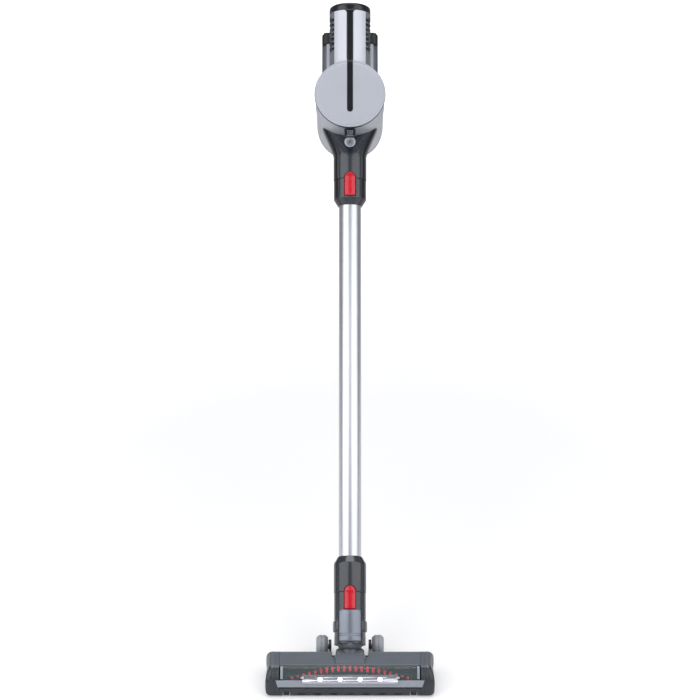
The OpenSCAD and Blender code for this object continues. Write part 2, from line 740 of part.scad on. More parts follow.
tuft_pitch = 8.6;
tuft_turn = 9;           // degrees between neighbouring tufts, a chevron about the middle
tuft_start = -30;        // the middle tufts' lean

module bristles() color(red) head_frame()
    difference() {
        for (i = [-10:10], side = [0, 180]) translate([i * tuft_pitch, brush_at[0], brush_at[1]])
            rotate([tuft_start + abs(i) * tuft_turn + side, 0, 0]) translate([0, 0, 4]) cylinder(r = 2.3, h = bristle_r - 4.2);
        x_rod(brush_at, 9 + 0.02, -120, 120);
    }

// The loop's outline at a distance from the pulleys: an arc about each, joined by straight runs
module belt_loop(grow) {
    span = motor_at - brush_at;
    lean_in = acos((brush_pulley_r - motor_pulley_r) / norm(span));
    translate(brush_at) rotate(atan2(span[1], span[0])) polygon(concat(
        arc([0, 0], brush_pulley_r + grow, lean_in, 360 - lean_in, 32),
        arc([norm(span), 0], motor_pulley_r + grow, -lean_in, lean_in, 16)));
}

module belt() color(near_black) head_frame()
    along_x(pulley_x[0] + 0.4, pulley_x[1] - 0.4) difference() {
        belt_loop(1.7);
        belt_loop(0.3);
    }

cyclone_head();
cover_gasket();
top_cover();
stripe();
inlet_duct();
motor_housing();
motor_panels();
motor_can();
cyclone_cones();
shroud();
handle();
grip();
battery_dock();
dock_cover();
control_board();
housing_screws();
impeller();
trigger();
cup_latch();
round_button();
exhaust_cap();
exhaust_filter();
dust_cup();
cup_pins();
cup_lid();
lid_latch();
battery_shell();
battery_cap();
battery_cells();
charge_jack();
battery_button_l();
battery_button_r();
wand_tube();
upper_collar();
lower_collar();
wire_duct();
upper_button();
neck_tube();
neck_panel();
lower_button();
swivel_knuckle();
knuckle_pins();
head_cover();
fairing();
base_frame();
brush_window();
silver_strip();
light_bar();
led_lenses();
end_caps();
axle_pins();
drive_motor();
belt();
brush_core();
bristles();
motor_pulley();
rear_wheel_l();
rear_wheel_r();
front_roller_l();
front_roller_r();
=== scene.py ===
"""Cordless stick vacuum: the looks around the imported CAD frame.

Lengths are millimetres in the object's own frames, and turn into row metres on the way into a mesh.
Every new piece is one or more closed skins: rings of points, joined ring to ring.
"""

import math

import bmesh
import bpy
import numpy as np
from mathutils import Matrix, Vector


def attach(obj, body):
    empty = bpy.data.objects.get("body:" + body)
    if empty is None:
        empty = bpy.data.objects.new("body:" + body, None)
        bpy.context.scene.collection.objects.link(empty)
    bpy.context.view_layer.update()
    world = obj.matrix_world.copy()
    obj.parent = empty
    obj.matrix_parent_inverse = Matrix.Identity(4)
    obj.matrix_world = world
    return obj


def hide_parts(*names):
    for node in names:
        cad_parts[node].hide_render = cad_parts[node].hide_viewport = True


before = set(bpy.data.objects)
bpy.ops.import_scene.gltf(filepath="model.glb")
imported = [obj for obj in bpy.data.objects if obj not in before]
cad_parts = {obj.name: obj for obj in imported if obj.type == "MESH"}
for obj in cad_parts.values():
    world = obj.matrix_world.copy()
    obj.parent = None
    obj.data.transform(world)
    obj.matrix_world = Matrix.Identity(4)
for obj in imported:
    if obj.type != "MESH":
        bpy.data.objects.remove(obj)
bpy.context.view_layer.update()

# ---- frames
# the wand leans LEAN degrees back; the cyclone is turned CYCLONE_TURN degrees about X from the wand
LEAN = 40.0
WAND_FOOT = (0.0, -353.0, 30.0)
CYCLONE_ORIGIN = (0.0, -50.0, 864.6)
CYCLONE_TURN = 87.0
MOTOR_FRONT = 14.0
HEAD_FRONT = -413.0


def turned(points, degrees, origin):
    """Turns points about X, then adds an origin: y' = y cos a - z sin a, z' = y sin a + z cos a."""
    x, y, z = np.moveaxis(np.asarray(points, float), -1, 0)
    c, s = math.cos(math.radians(degrees)), math.sin(math.radians(degrees))
    return np.stack([x, y * c - z * s, y * s + z * c], -1) + np.asarray(origin)


def on_wand(points):
    """Z runs up the wand, -Y is its front."""
    return turned(points, -LEAN, WAND_FOOT)


def on_cyclone(points):
    """Z comes out of the round cover, Y runs up the wand."""
    return on_wand(turned(points, CYCLONE_TURN, CYCLONE_ORIGIN))


def on_motor(points):
    """Z runs up the suction motor's axis."""
    return on_wand(np.asarray(points, float) - np.array([0, MOTOR_FRONT, 0]))


def on_head(points):
    """X is the head's width, Y is measured back from its front edge, Z up from the floor."""
    return np.asarray(points, float) + np.array([0, HEAD_FRONT, 0])


# ---- shapes
def fillet(corners, steps=5):
    """A polyline whose corners are rounded. A corner (a, b, r) becomes the parabola that leaves it
    r away on one side and ends r away on the other: (1-t)^2 p + 2t(1-t) c + t^2 q."""
    pts = [np.array(c[:2], float) for c in corners]
    out = []
    t = np.linspace(0, 1, steps)[:, None]
    for i, corner in enumerate(corners):
        r = corner[2] if len(corner) > 2 else 0
        if r == 0 or i in (0, len(corners) - 1):
            out.append(pts[i][None])
            continue
        p = pts[i] + (pts[i - 1] - pts[i]) * min(r / np.linalg.norm(pts[i - 1] - pts[i]), 0.5)
        q = pts[i] + (pts[i + 1] - pts[i]) * min(r / np.linalg.norm(pts[i + 1] - pts[i]), 0.5)
        out.append((1 - t) ** 2 * p + 2 * t * (1 - t) * pts[i] + t**2 * q)
    return np.vstack(out)


def shell(rings, loop=False):
    """A closed skin. Point m of ring k joins point m of ring k+1. The first and last ring close on
    their mean points, or on each other where loop is set. Faces are turned to enclose a positive
    volume, the sum over triangles of a . (b x c) / 6."""
    rings = np.asarray(rings, float)
    k, m = rings.shape[:2]
    verts = rings.reshape(-1, 3)
    i = np.arange(k if loop else k - 1)[:, None]
    j = np.arange(m)[None, :]
    n = (i + 1) % k
    q = (j + 1) % m
    quads = np.stack(np.broadcast_arrays(i * m + j, i * m + q, n * m + q, n * m + j), -1)
    quads = quads.reshape(-1, 4)
    faces = quads.tolist()
    tris = np.vstack([quads[:, :3], quads[:, [0, 2, 3]]])
    if not loop:
        verts = np.vstack([verts, rings[0].mean(0), rings[-1].mean(0)])
        near = np.arange(m)
        far = (near + 1) % m
        last = (k - 1) * m
        start = np.stack([near, np.full(m, k * m), far], -1)
        end = np.stack([last + near, last + far, np.full(m, k * m + 1)], -1)
        faces += start.tolist() + end.tolist()
        tris = np.vstack([tris, start, end])
    a, b, c = (verts[tris[:, q]] for q in range(3))
    if np.einsum("ij,ij->", a, np.cross(b, c)) < 0:
        faces = [f[::-1] for f in faces]
    return verts, faces


def around(count, dense=None):
    """Angles over a full turn from the front; dense=(half width, step) packs them near the front."""
    if dense is None:
        return np.linspace(-180, 180, count, endpoint=False)
    near = np.arange(-dense[0], dense[0] + 1e-6, dense[1])
    far = np.linspace(dense[0], 360 - dense[0], count)[1:-1]
    return np.concatenate([near, far])


def lathe(profile, angles=None, push=None):
    """Turns a profile of (radius, height) about Z: (r sin a, -r cos a, z), a = 0 at the front.
    push(a, r, z) may move the radius in or out."""
    profile = np.asarray(profile, float)
    angles = around(96) if angles is None else angles
    a = np.radians(angles)[None, :]
    r = np.repeat(profile[:, :1], a.size, 1)
    z = np.repeat(profile[:, 1:2], a.size, 1)
    if push is not None:
        r = push(np.broadcast_to(a, r.shape), r, z)
    return np.stack([r * np.sin(a), -r * np.cos(a), z], -1)


def about_x(rings, at, x=0.0):
    """Lays a turned shape's axis along X, through the point at = (y, z)."""
    px, py, pz = np.moveaxis(rings, -1, 0)
    return np.stack([pz + x, px + at[0], py + at[1]], -1)


def about_front(rings, z, y):
    """Lays a turned shape's axis along -Y, at height z; its zero height is at y."""
    px, py, pz = np.moveaxis(rings, -1, 0)
    return np.stack([px, y - pz, z + py], -1)


def box_outline(w, d, r, n=8):
    """A rounded rectangle: a quarter circle of radius r about each corner's centre."""
    t = np.linspace(0, math.pi / 2, n)
    quarter = np.stack([np.cos(t), np.sin(t)], -1) * r
    turn = np.array([[0, -1], [1, 0]])
    out = []
    for k, (sx, sy) in enumerate([(1, 1), (-1, 1), (-1, -1), (1, -1)]):
        spin = np.linalg.matrix_power(turn, k)
        out.append(quarter @ spin.T + np.array([sx * (w / 2 - r), sy * (d / 2 - r)]))
    return np.vstack(out)


def stack(outline, levels):
    """A closed outline carried along Z. levels holds (inset, z): each ring is the outline moved in
    along its own normals by the inset."""
    outline = np.asarray(outline, float)
    along = np.roll(outline, -1, 0) - np.roll(outline, 1, 0)
    normal = np.stack([along[:, 1], -along[:, 0]], -1)
    normal /= np.maximum(np.linalg.norm(normal, axis=1, keepdims=True), 1e-9)
    levels = np.asarray(levels, float)
    flat = outline[None] - normal[None] * levels[:, 0][:, None, None]
    z = np.broadcast_to(levels[:, 1][:, None], flat.shape[:2])
    return np.concatenate([flat, z[..., None]], -1)


def eased(z0, z1, r, steps=5):
    """Levels of a block from z0 to z1 with its rims rounded by r: inset r(1 - cos), height r(1 - sin)."""
    t = np.linspace(0, math.pi / 2, steps)
    rim = np.stack([r * (1 - np.sin(t)), r * (1 - np.cos(t))], -1)
    low = np.stack([rim[:, 0], z0 + rim[:, 1]], -1)
    high = np.stack([rim[::-1, 0], z1 - rim[::-1, 1]], -1)
    return np.vstack([low, high])


def plate(v, centre, half, surface, thick, edge, sink=0.6, across=15):
    """A thin plate laid on a surface. Over (t, v), t in -1..1, the point is
    surface(centre(v) + half(v) t, v, h); h = thick sqrt(1 - (1 - min(d/edge, 1))^2) with d the
    distance to the plate's border. The underside is the same grid at h = -sink."""
    v = np.asarray(v, float)
    s = np.sin(np.linspace(-math.pi / 2, math.pi / 2, across))
    u = centre(v)[:, None] + half(v)[:, None] * s[None]
    vv = np.broadcast_to(v[:, None], u.shape)
    d = np.minimum(half(v)[:, None] * (1 - np.abs(s))[None], np.minimum(vv - v[0], v[-1] - vv))
    h = thick * np.sqrt(1 - (1 - np.clip(d / edge, 0, 1)) ** 2)
    top = surface(u, vv, h)
    under = surface(u[:, ::-1], vv[:, ::-1], np.full(u.shape, -sink))
    return np.concatenate([top, under], 1)


def mirrored(rings):
    """The same shape on the other side: x changes sign."""
    return np.asarray(rings) * np.array([-1, 1, 1])


# ---- pieces
MERGE, DEGENERATE = 2e-6, 1e-6
CAD_MERGE, CAD_FLAT = 5e-6, 0.6
BEVEL_ANGLE = 34.0


def linked(name, data):
    """A new object in the scene, at the origin."""
    obj = bpy.data.objects.new(name, data)
    bpy.context.scene.collection.objects.link(obj)
    return obj


def finish_mesh(mesh, smooth):
    """Smooth shading, sharp across edges that turn by more than the angle smooth, in degrees."""
    mesh.shade_smooth()
    mesh.set_sharp_from_angle(angle=math.radians(smooth))


def piece(name, shells, place, body, material, replaces=(), smooth=38, second=None):
    """One object from one or more closed shells, placed from its local frame to the row's. It rides
    on body. second=(material, mask): faces whose middle, in local millimetres, the mask picks get
    the second material."""
    verts, faces = [], []
    for v, f in shells:
        base = sum(len(q) for q in verts)
        verts.append(v)
        faces += [[base + c for c in face] for face in f]
    local = np.vstack(verts)
    mesh = bpy.data.meshes.new(name)
    mesh.from_pydata((place(local) / 1000).tolist(), [], faces)
    mesh.materials.append(material)
    if second is not None:
        mesh.materials.append(second[0])
        middles = np.array([local[f].mean(0) for f in faces])
        mesh.polygons.foreach_set("material_index", second[1](middles).astype(np.int32))
    work = bmesh.new()
    work.from_mesh(mesh)
    bmesh.ops.remove_doubles(work, verts=work.verts, dist=MERGE)
    bmesh.ops.dissolve_degenerate(work, edges=work.edges, dist=DEGENERATE)
    work.to_mesh(mesh)
    work.free()
    finish_mesh(mesh, smooth)
    obj = linked(name, mesh)
    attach(obj, body)
    if replaces:
        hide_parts(*replaces)
    return obj


def eased_copy(name, node, body, material, slot, bevel=0.5, smooth=32):
    """A copy of a CAD solid with its triangles merged, its flats joined and its edges rounded."""
    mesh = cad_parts[node].data.copy()
    mesh.name = name
    work = bmesh.new()
    work.from_mesh(mesh)
    bmesh.ops.remove_doubles(work, verts=work.verts, dist=CAD_MERGE)
    flat = math.radians(CAD_FLAT)
    bmesh.ops.dissolve_limit(work, angle_limit=flat, verts=work.verts, edges=work.edges)
    work.to_mesh(mesh)
    work.free()
    mesh.materials.clear()
    mesh.materials.append(material)
    finish_mesh(mesh, smooth)
    obj = linked(name, mesh)
    mod = obj.modifiers.new("eased_edges", "BEVEL")
    mod.width = bevel / 1000
    mod.segments = 2
    mod.limit_method = "ANGLE"
    mod.angle_limit = math.radians(BEVEL_ANGLE)
    mod.harden_normals = True
    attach(obj, body)
    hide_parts(node)
    return obj


# ---- finishes
def linear(code):
    """A web colour as linear light: ((c + 0.055) / 1.055)^2.4 above 0.04045, c / 12.92 below."""
    c = np.array([int(code[i : i + 2], 16) for i in (0, 2, 4)]) / 255
    lit = np.where(c > 0.04045, ((c + 0.055) / 1.055) ** 2.4, c / 12.92)
    return (*lit.tolist(), 1.0)


NOISE_SPAN = (0.3, 0.7)
STREAK_SQUASH = 0.012
BUMP_DEPTH = 0.0004


def set_or_link(group, given, socket):
    """Sets a number on a socket, or links another socket to it."""
    if isinstance(given, (int, float)):
        socket.default_value = given
    else:
        group.links.new(given, socket)


def new_group(name, inputs, outputs):
    """A shader node group, with its input and output nodes."""
    group = bpy.data.node_groups.new(name, "ShaderNodeTree")
    for label, kind, value in inputs:
        socket = group.interface.new_socket(label, in_out="INPUT", socket_type=kind)
        socket.default_value = value
    for label, kind in outputs:
        group.interface.new_socket(label, in_out="OUTPUT", socket_type=kind)
    return group, group.nodes.new("NodeGroupInput"), group.nodes.new("NodeGroupOutput")


def noise(group, vector, scale, detail):
    """A noise value over vector; the scale is a number or a socket."""
    node = group.nodes.new("ShaderNodeTexNoise")
    node.inputs["Detail"].default_value = detail
    group.links.new(vector, node.inputs["Vector"])
    set_or_link(group, scale, node.inputs["Scale"])
    return node.outputs["Fac"]


def reach(group, value, low, high, out_low, out_high):
    """Maps a value from low..high to out_low..out_high; the outer two may be sockets."""
    node = group.nodes.new("ShaderNodeMapRange")
    group.links.new(value, node.inputs["Value"])
    node.inputs["From Min"].default_value = low
    node.inputs["From Max"].default_value = high
    set_or_link(group, out_low, node.inputs["To Min"])
    set_or_link(group, out_high, node.inputs["To Max"])
    return node.outputs["Result"]


def finish_group(name, extra=()):
    """An empty finish group with the inputs and outputs that every finish shares."""
    return new_group(
        name,
        [("Colour", "NodeSocketColor", (0.5, 0.5, 0.5, 1)), ("Shade", "NodeSocketColor", (0.4, 0.4, 0.4, 1)),
         ("Polished", "NodeSocketFloat", 0.2), ("Dull", "NodeSocketFloat", 0.35), *extra],
        [("Colour", "NodeSocketColor"), ("Roughness", "NodeSocketFloat"), ("Height", "NodeSocketFloat")])


def join_finish(group, gin, gout, patches, polish, relief):
    """Colour goes from Colour to Shade by patches, roughness from Polished to Dull by polish."""
    mix = group.nodes.new("ShaderNodeMix")
    mix.data_type = "RGBA"
    group.links.new(reach(group, patches, *NOISE_SPAN, 0.0, 1.0), mix.inputs["Factor"])
    group.links.new(gin.outputs["Colour"], mix.inputs["A"])
    group.links.new(gin.outputs["Shade"], mix.inputs["B"])
    group.links.new(mix.outputs["Result"], gout.inputs["Colour"])
    rough = reach(group, polish, *NOISE_SPAN, gin.outputs["Polished"], gin.outputs["Dull"])
    group.links.new(rough, gout.inputs["Roughness"])
    group.links.new(relief, gout.inputs["Height"])
    return group


def build_moulded():
    """Moulded plastic: a faint unevenness of colour, patches of polish, fine grain in relief."""
    group, gin, gout = finish_group("moulded_plastic", [("Grain", "NodeSocketFloat", 900.0)])
    place = group.nodes.new("ShaderNodeTexCoord").outputs["Object"]
    cloud = noise(group, place, 14.0, 3.0)
    grain = noise(group, place, gin.outputs["Grain"], 4.0)
    smudge = noise(group, place, 55.0, 5.0)
    return join_finish(group, gin, gout, cloud, smudge, grain)


def build_drawn():
    """Drawn metal: fine streaks along the wand's axis, laid over a slow unevenness."""
    group, gin, gout = finish_group("drawn_metal")
    place = group.nodes.new("ShaderNodeTexCoord").outputs["Object"]
    turn = group.nodes.new("ShaderNodeVectorRotate")
    turn.rotation_type = "X_AXIS"
    group.links.new(place, turn.inputs["Vector"])
    turn.inputs["Angle"].default_value = math.radians(LEAN)
    squash = group.nodes.new("ShaderNodeMapping")
    squash.inputs["Scale"].default_value = (1.0, 1.0, STREAK_SQUASH)
    group.links.new(turn.outputs["Vector"], squash.inputs["Vector"])
    streaks = noise(group, squash.outputs["Vector"], 2600.0, 6.0)
    slow = noise(group, place, 9.0, 2.0)
    return join_finish(group, gin, gout, slow, streaks, streaks)


MOULDED = build_moulded()
DRAWN = build_drawn()


def finish(name, group, colour, shade, polished, dull, relief=0.04, grain=None, **shader):
    """A material: the group gives colour, roughness and relief; plain numbers go on the shader."""
    mat = bpy.data.materials.new(name)
    mat.use_nodes = True
    tree = mat.node_tree
    bsdf = tree.nodes["Principled BSDF"]
    surf = tree.nodes.new("ShaderNodeGroup")
    surf.node_tree = group
    surf.inputs["Colour"].default_value = linear(colour)
    surf.inputs["Shade"].default_value = linear(shade)
    surf.inputs["Polished"].default_value = polished
    surf.inputs["Dull"].default_value = dull
    if grain is not None:
        surf.inputs["Grain"].default_value = grain
    bump = tree.nodes.new("ShaderNodeBump")
    bump.inputs["Strength"].default_value = relief
    bump.inputs["Distance"].default_value = BUMP_DEPTH
    tree.links.new(surf.outputs["Colour"], bsdf.inputs["Base Color"])
    tree.links.new(surf.outputs["Roughness"], bsdf.inputs["Roughness"])
    tree.links.new(surf.outputs["Height"], bump.inputs["Height"])
    tree.links.new(bump.outputs["Normal"], bsdf.inputs["Normal"])
    for socket, value in shader.items():
        bsdf.inputs[socket.replace("_", " ")].default_value = value
    return mat


COVER_GRAY = finish("cover_gray", MOULDED, "b2b5bf", "acafb9", 0.34, 0.42, 0.05, 1600, Coat_Weight=0.12)
CUP_SILVER = finish("cup_silver", MOULDED, "b9bdc6", "b0b4bc", 0.28, 0.36, 0.04, 1600, Metallic=0.25)
PEARL = finish("pearl_panel", MOULDED, "d1d4de", "cacdd7", 0.2, 0.27, 0.02, Coat_Weight=0.5)
MID_GRAY = finish("mid_gray_satin", MOULDED, "767c85", "6c727b", 0.3, 0.38, 0.06)
STEEL_GRAY = finish("battery_side_gray", MOULDED, "5b606a", "545963", 0.3, 0.4, 0.08)
GLOSS_GRAY = finish("gloss_gray", MOULDED, "2a2f38", "252a32", 0.24, 0.3, 0.02, Coat_Weight=0.7,
                    Coat_Roughness=0.16)
NECK_SILVER = finish("neck_silver", MOULDED, "8a909c", "828893", 0.28, 0.34, 0.02, Metallic=0.6)
HEAD_GRAY = finish("head_gray", MOULDED, "666c74", "60666d", 0.3, 0.34, 0.02, Coat_Weight=0.15)
HEAD_DARK = finish("head_dark", MOULDED, "2e333b", "292e35", 0.26, 0.34, 0.06, Coat_Weight=0.2)
BLACK_GLOSS = finish("black_gloss", MOULDED, "12151b", "0f1217", 0.18, 0.28, 0.02, Coat_Weight=0.3)
BLACK_SATIN = finish("black_satin", MOULDED, "1c2027", "171b21", 0.36, 0.48, 0.1)
RUBBER = finish("grip_rubber", MOULDED, "1a1c20", "16181b", 0.62, 0.75, 0.25, 2200)
RED = finish("button_red", MOULDED, "cc1229", "c40e24", 0.18, 0.26, 0.02, Coat_Weight=0.3)
STRIP_GRAY = finish("strip_gray", MOULDED, "9da2ac", "949aa4", 0.26, 0.34, 0.04)
WHEEL_GRAY = finish("wheel_gray", MOULDED, "a9adb3", "a0a4ab", 0.4, 0.5, 0.12)
BUTTON_SILVER = finish("button_silver", MOULDED, "bcc2cc", "b3b9c3", 0.2, 0.28, 0.02, Metallic=0.5)
ALUMINIUM = finish("aluminium_tube", DRAWN, "e2e4ea", "dbdee4", 0.3, 0.38, 0.05, Metallic=1.0)
STEEL = finish("plain_steel", DRAWN, "b8bbc0", "adb0b5", 0.22, 0.34, 0.1, Metallic=1.0)
CHROME = finish("chrome_bar", MOULDED, "d4d6de", "ccced7", 0.22, 0.28, 0.01, Metallic=1.0)
# the bristles give off a faint red light of their own: painted light, so they show bright through the smoked
# window
GLOWING_BRISTLE = finish("red_bristle_painted_glow", MOULDED, "ee2440", "d61c34", 0.5, 0.65, 0.2,
                 Emission_Color=(0.8, 0.02, 0.05, 1), Emission_Strength=0.45)
FILTER = finish("filter_paper", MOULDED, "d9d8d2", "cfcec7", 0.75, 0.9, 0.4)
CELL = finish("cell_wrap", MOULDED, "2f6fae", "2a649d", 0.25, 0.35, 0.05)
BOARD = finish("board_green", MOULDED, "1f4d33", "1a422b", 0.4, 0.5, 0.2)

WINDOW = finish("smoke_window", MOULDED, "7d8f92", "748689", 0.06, 0.1, 0.0, Alpha=0.2, Coat_Weight=0.4)
WINDOW.surface_render_method = "BLENDED"


LENS_LIGHT, LENS_STRENGTH = (0.93, 0.9, 1.0, 1), 3.0


def lit_lens():
    """A lit lens: a clear white plastic that gives off cool white light."""
    mat = finish("lit_lens", MOULDED, "ffffff", "f2f0ff", 0.1, 0.2, 0.01)
    bsdf = mat.node_tree.nodes["Principled BSDF"]
    bsdf.inputs["Emission Color"].default_value = LENS_LIGHT
    bsdf.inputs["Emission Strength"].default_value = LENS_STRENGTH
    return mat


LENS = lit_lens()

# ---- release buttons and their collars
TUBE_R, TUBE_WALL, TUBE_FOOT, TUBE_TOP = 17.0, 1.2, 62.0, 784.0
SLEEVE_R = 17.06
COLLAR_R, LOWER_R, NECK_R = 24.4, 24.0, 23.5
LOW_SEAM, HIGH_SEAM = 97.0, 738.0
BUTTON_W = 16.8
BUTTON_TAPER = 0.78
BUTTON_CROWN, BUTTON_EASE, BUTTON_FLOOR = 1.2, 1.6, 20.6
LIP_HEIGHT, LIP_WIDTH = 0.5, 2.6
POCKET_R, POCKET_GAP, POCKET_SLOPE = 18.1, 0.5, 0.5
UPPER_BUTTON = (HIGH_SEAM - 28, HIGH_SEAM - 0.4)
LOWER_BUTTON = (LOW_SEAM - 26.3, LOW_SEAM + 0.2)
BAND, LOW_BAND = (46.0, 112.0), (54.0, 118.0)


def button_distance(x, z, span, grow):
    """Signed distance to a button's outline: flat foot at span[0], half circle about span[1]."""
    foot = span[0] - grow - z
    from_axis = np.where(z < span[1], np.abs(x), np.hypot(x, z - span[1]))
    return np.maximum(foot, from_axis - BUTTON_W / 2 - grow)


def pocket(span):
    """A push for lathe(): the radius drops to the pocket's floor inside the button's outline."""

    def push(a, r, z):
        outside = (r > POCKET_R) & (np.cos(a) > 0)
        inside = button_distance(r * np.sin(a), z, span, POCKET_GAP) / POCKET_SLOPE
        depth = np.clip(0.5 - inside, 0, 1)
        return np.where(outside, r - depth * (r - POCKET_R), r)

    return push


def fine(z0, z1, r, step=0.5):
    """A straight run of profile points at radius r."""
    z = np.arange(z0, z1, step)
    return np.stack([np.full(z.size, r), z], -1)


FRONT_DENSE = around(40, (32.0, 1.1))


def button(name, span, r, body, node):
    """A release button: its outline bent round the wand at radius r, its edges rounded, with a
    raised lip across its round end for the thumb. Its underside is narrower, by BUTTON_TAPER."""
    z = np.concatenate([np.linspace(span[0], span[1], 26),
                        span[1] + BUTTON_W / 2 * np.sin(np.linspace(0.06, math.pi / 2, 16))])

    def half(v):
        top = np.clip((v - span[1]) / (BUTTON_W / 2), 0, 1)
        return BUTTON_W / 2 * np.sqrt(1 - top**2) + 0.01

    def surface(u, v, h):
        lip = LIP_HEIGHT * np.exp(-(((v - span[1] - 1.5) / LIP_WIDTH) ** 2)) * (h > 0)
        reach_r = r - BUTTON_CROWN + h + lip
        x = np.clip(u, -r, r) * np.where(h < 0, BUTTON_TAPER, 1.0)
        return np.stack([x, -np.sqrt(reach_r**2 - x**2), v], -1)

    sink = r - BUTTON_CROWN - BUTTON_FLOOR
    rings = plate(z, lambda v: 0 * v, half, surface, BUTTON_CROWN, BUTTON_EASE, sink, across=21)
    return piece(name, [shell(rings)], on_wand, body, RED, (node,))


button("thumb_button_upper", UPPER_BUTTON, COLLAR_R + 1.6, "upper_button", "upper_button")
button("thumb_button_lower", LOWER_BUTTON, NECK_R + 2.0, "lower_button", "lower_button")

tube_bore = TUBE_R - TUBE_WALL
tube = fillet([(tube_bore, TUBE_FOOT), (TUBE_R, TUBE_FOOT, 0.3), (TUBE_R, TUBE_TOP, 0.3),
               (tube_bore, TUBE_TOP)], 4)
piece("wand_tube_drawn", [shell(lathe(tube), loop=True)], on_wand, "wand", ALUMINIUM,
      ("wand_tube",))

upper_collar = np.vstack([
    fillet([(SLEEVE_R, 697), (17.7, 697), (COLLAR_R - 0.2, 707.2, 1.2), (COLLAR_R, 708.4)], 6),
    fine(708.8, 737.3, COLLAR_R), [(COLLAR_R - 0.3, 737.8), (SLEEVE_R, 737.8)]])
lower_collar = np.vstack([
    [(SLEEVE_R, 97.3), (LOWER_R - 0.3, 97.3)], fine(97.8, 108, LOWER_R),
    fillet([(LOWER_R, 108.5), (LOWER_R, 140.6, 1.5), (LOWER_R - 0.5, 142, 0.5), (17.8, 152, 1.0),
            (SLEEVE_R, 152)], 6)])
for name, profile, span, node in (("wand_collar_upper", upper_collar, UPPER_BUTTON, "upper_collar"),
                                  ("wand_collar_lower", lower_collar, LOWER_BUTTON, "lower_collar")):
    piece(name, [shell(lathe(profile, FRONT_DENSE, pocket(span)), loop=True)], on_wand, "wand", GLOSS_GRAY,
          (node,))


BAND_ROOT = 0.8


def square_edge(steps):
    """A raised strip's height across its width: sqrt(1 - q^8), q from -1 to 1."""
    return np.sqrt(1 - np.linspace(-1, 1, steps) ** 8)


def round_wand(r, a, z):
    """Points at radius r and angle a from the front, at height z."""
    return np.stack([r * np.sin(a), -r * np.cos(a), np.broadcast_to(z, r.shape)], -1)


def side_band(z, radius, lift, first, last, steps=17):
    """A raised band over the wand's side: angle first..last, height z, radius(z) + lift at its
    middle. Its root lies BAND_ROOT below the surface. lift is one number, or one for each z."""
    a = np.radians(np.linspace(first, last, steps))
    r = radius(z)[:, None]
    h = np.reshape(lift, (-1, 1)) * square_edge(steps)
    top = round_wand(r + h, a, z[:, None])
    under = round_wand(r - BAND_ROOT + 0 * h, a, z[:, None])
    return np.concatenate([top, under[:, ::-1]], 1)


def shade_band_pair(name, z, radius, body, lift=0.5, angles=BAND):
    """A band on each side of the wand, in black: painted shade where the round surface turns away from the
    lights.
    """
    one = side_band(z, radius, lift, *angles)
    return piece(name, [shell(one), shell(mirrored(one))], on_wand, body, BLACK_GLOSS)


# black bands on the collars' sides: painted shade where the collars turn away from the lights
shade_band_pair("collar_painted_shade_bands", np.concatenate([np.linspace(697.4, 708, 9), np.linspace(709, 737.6, 8)]),
          lambda v: np.interp(v, [697, 707.6, 740], [17.9, COLLAR_R, COLLAR_R]), "wand")
shade_band_pair("lower_collar_painted_shade_bands", np.concatenate([np.linspace(97.5, 140, 9), np.linspace(141, 151.2, 8)]),
          lambda v: np.interp(v, [97, 141.4, 152], [LOWER_R, LOWER_R, 17.9]), "wand", 0.35, LOW_BAND)

# ---- inlet duct
DUCT_FOOT, FLARE_FOOT, FLARE_TOP = 738.2, 776.0, 834.0
RING_R = 53.2
CUP_GAP = 0.4
CUP_SINE, CUP_COSINE = 0.05234, 0.99863
DUCT_HALF_W, DUCT_MIDDLE, DUCT_HALF_D = 44.0, 27.0, 23.0
RIB_LIFT = 0.9


def duct_point(a, z, lift=0.0):
    """The duct's outline at height z: a circle of the collar's radius up to the flare, then a blend
    into a rounded box, x = w sin^(1/2), y = m - d cos^(1/2), signs kept."""
    e = np.clip((z - FLARE_FOOT) / (FLARE_TOP - FLARE_FOOT), 0, 1)
    e = e * e * (3 - 2 * e) * 0.25 + e * 0.75
    sa, ca = np.sin(a), np.cos(a)
    bx = DUCT_HALF_W * np.sign(sa) * np.abs(sa) ** 0.5
    by = DUCT_MIDDLE - DUCT_HALF_D * np.sign(ca) * np.abs(ca) ** 0.5
    x = (1 - e) * COLLAR_R * sa + e * bx + lift * sa
    y = -(1 - e) * COLLAR_R * ca + e * by - lift * ca
    return x, y


def under_cup(x, y, r=RING_R + CUP_GAP):
    """Height of the cup cylinder's underside above (x, y): axis height minus sqrt(r^2 - x^2)."""
    _, cup_y, cup_z = CYCLONE_ORIGIN
    return cup_z - (np.sqrt(np.maximum(r * r - x * x, 0)) + (y - cup_y) * CUP_SINE) / CUP_COSINE


def duct_top(a, lift=0.0, clear=0.0):
    """Where the outline meets the cup, found by stepping the height to the cup's underside."""
    z = np.full(a.shape, 815.0)
    for _ in range(40):
        x, y = duct_point(a, z, lift)
        z = 0.5 * z + 0.5 * under_cup(np.clip(x, -RING_R, RING_R), y)
    return z - clear


a = np.radians(around(96, (40.0, 1.1)))
foot_z = np.concatenate([[DUCT_FOOT + 0.1], np.arange(DUCT_FOOT + 0.5, DUCT_FOOT + 11, 0.5),
                         np.linspace(750, FLARE_FOOT, 8)])
socket = [(2.0, 784), (17.1, 784), (17.1, 760), (17.1, DUCT_FOOT), (COLLAR_R - 0.3, DUCT_FOOT)]
rows = [round_wand(np.full(a.shape, r), a, h) for r, h in socket]
wall = np.stack([np.full(foot_z.size, COLLAR_R), foot_z], -1)
rows += list(lathe(wall, np.degrees(a), pocket(UPPER_BUTTON)))
top = duct_top(a)
for t in np.linspace(0.04, 1, 26):
    h = FLARE_FOOT + (top - FLARE_FOOT) * t
    rows.append(np.stack([*duct_point(a, h), h], -1))
rim_x, rim_y = duct_point(a, top)
for s in (0.97, 0.85, 0.7, 0.55, 0.4, 0.25, 0.1):
    x, y = rim_x * s, 10 + (rim_y - 10) * s
    rows.append(np.stack([x, y, under_cup(x, y)], -1))
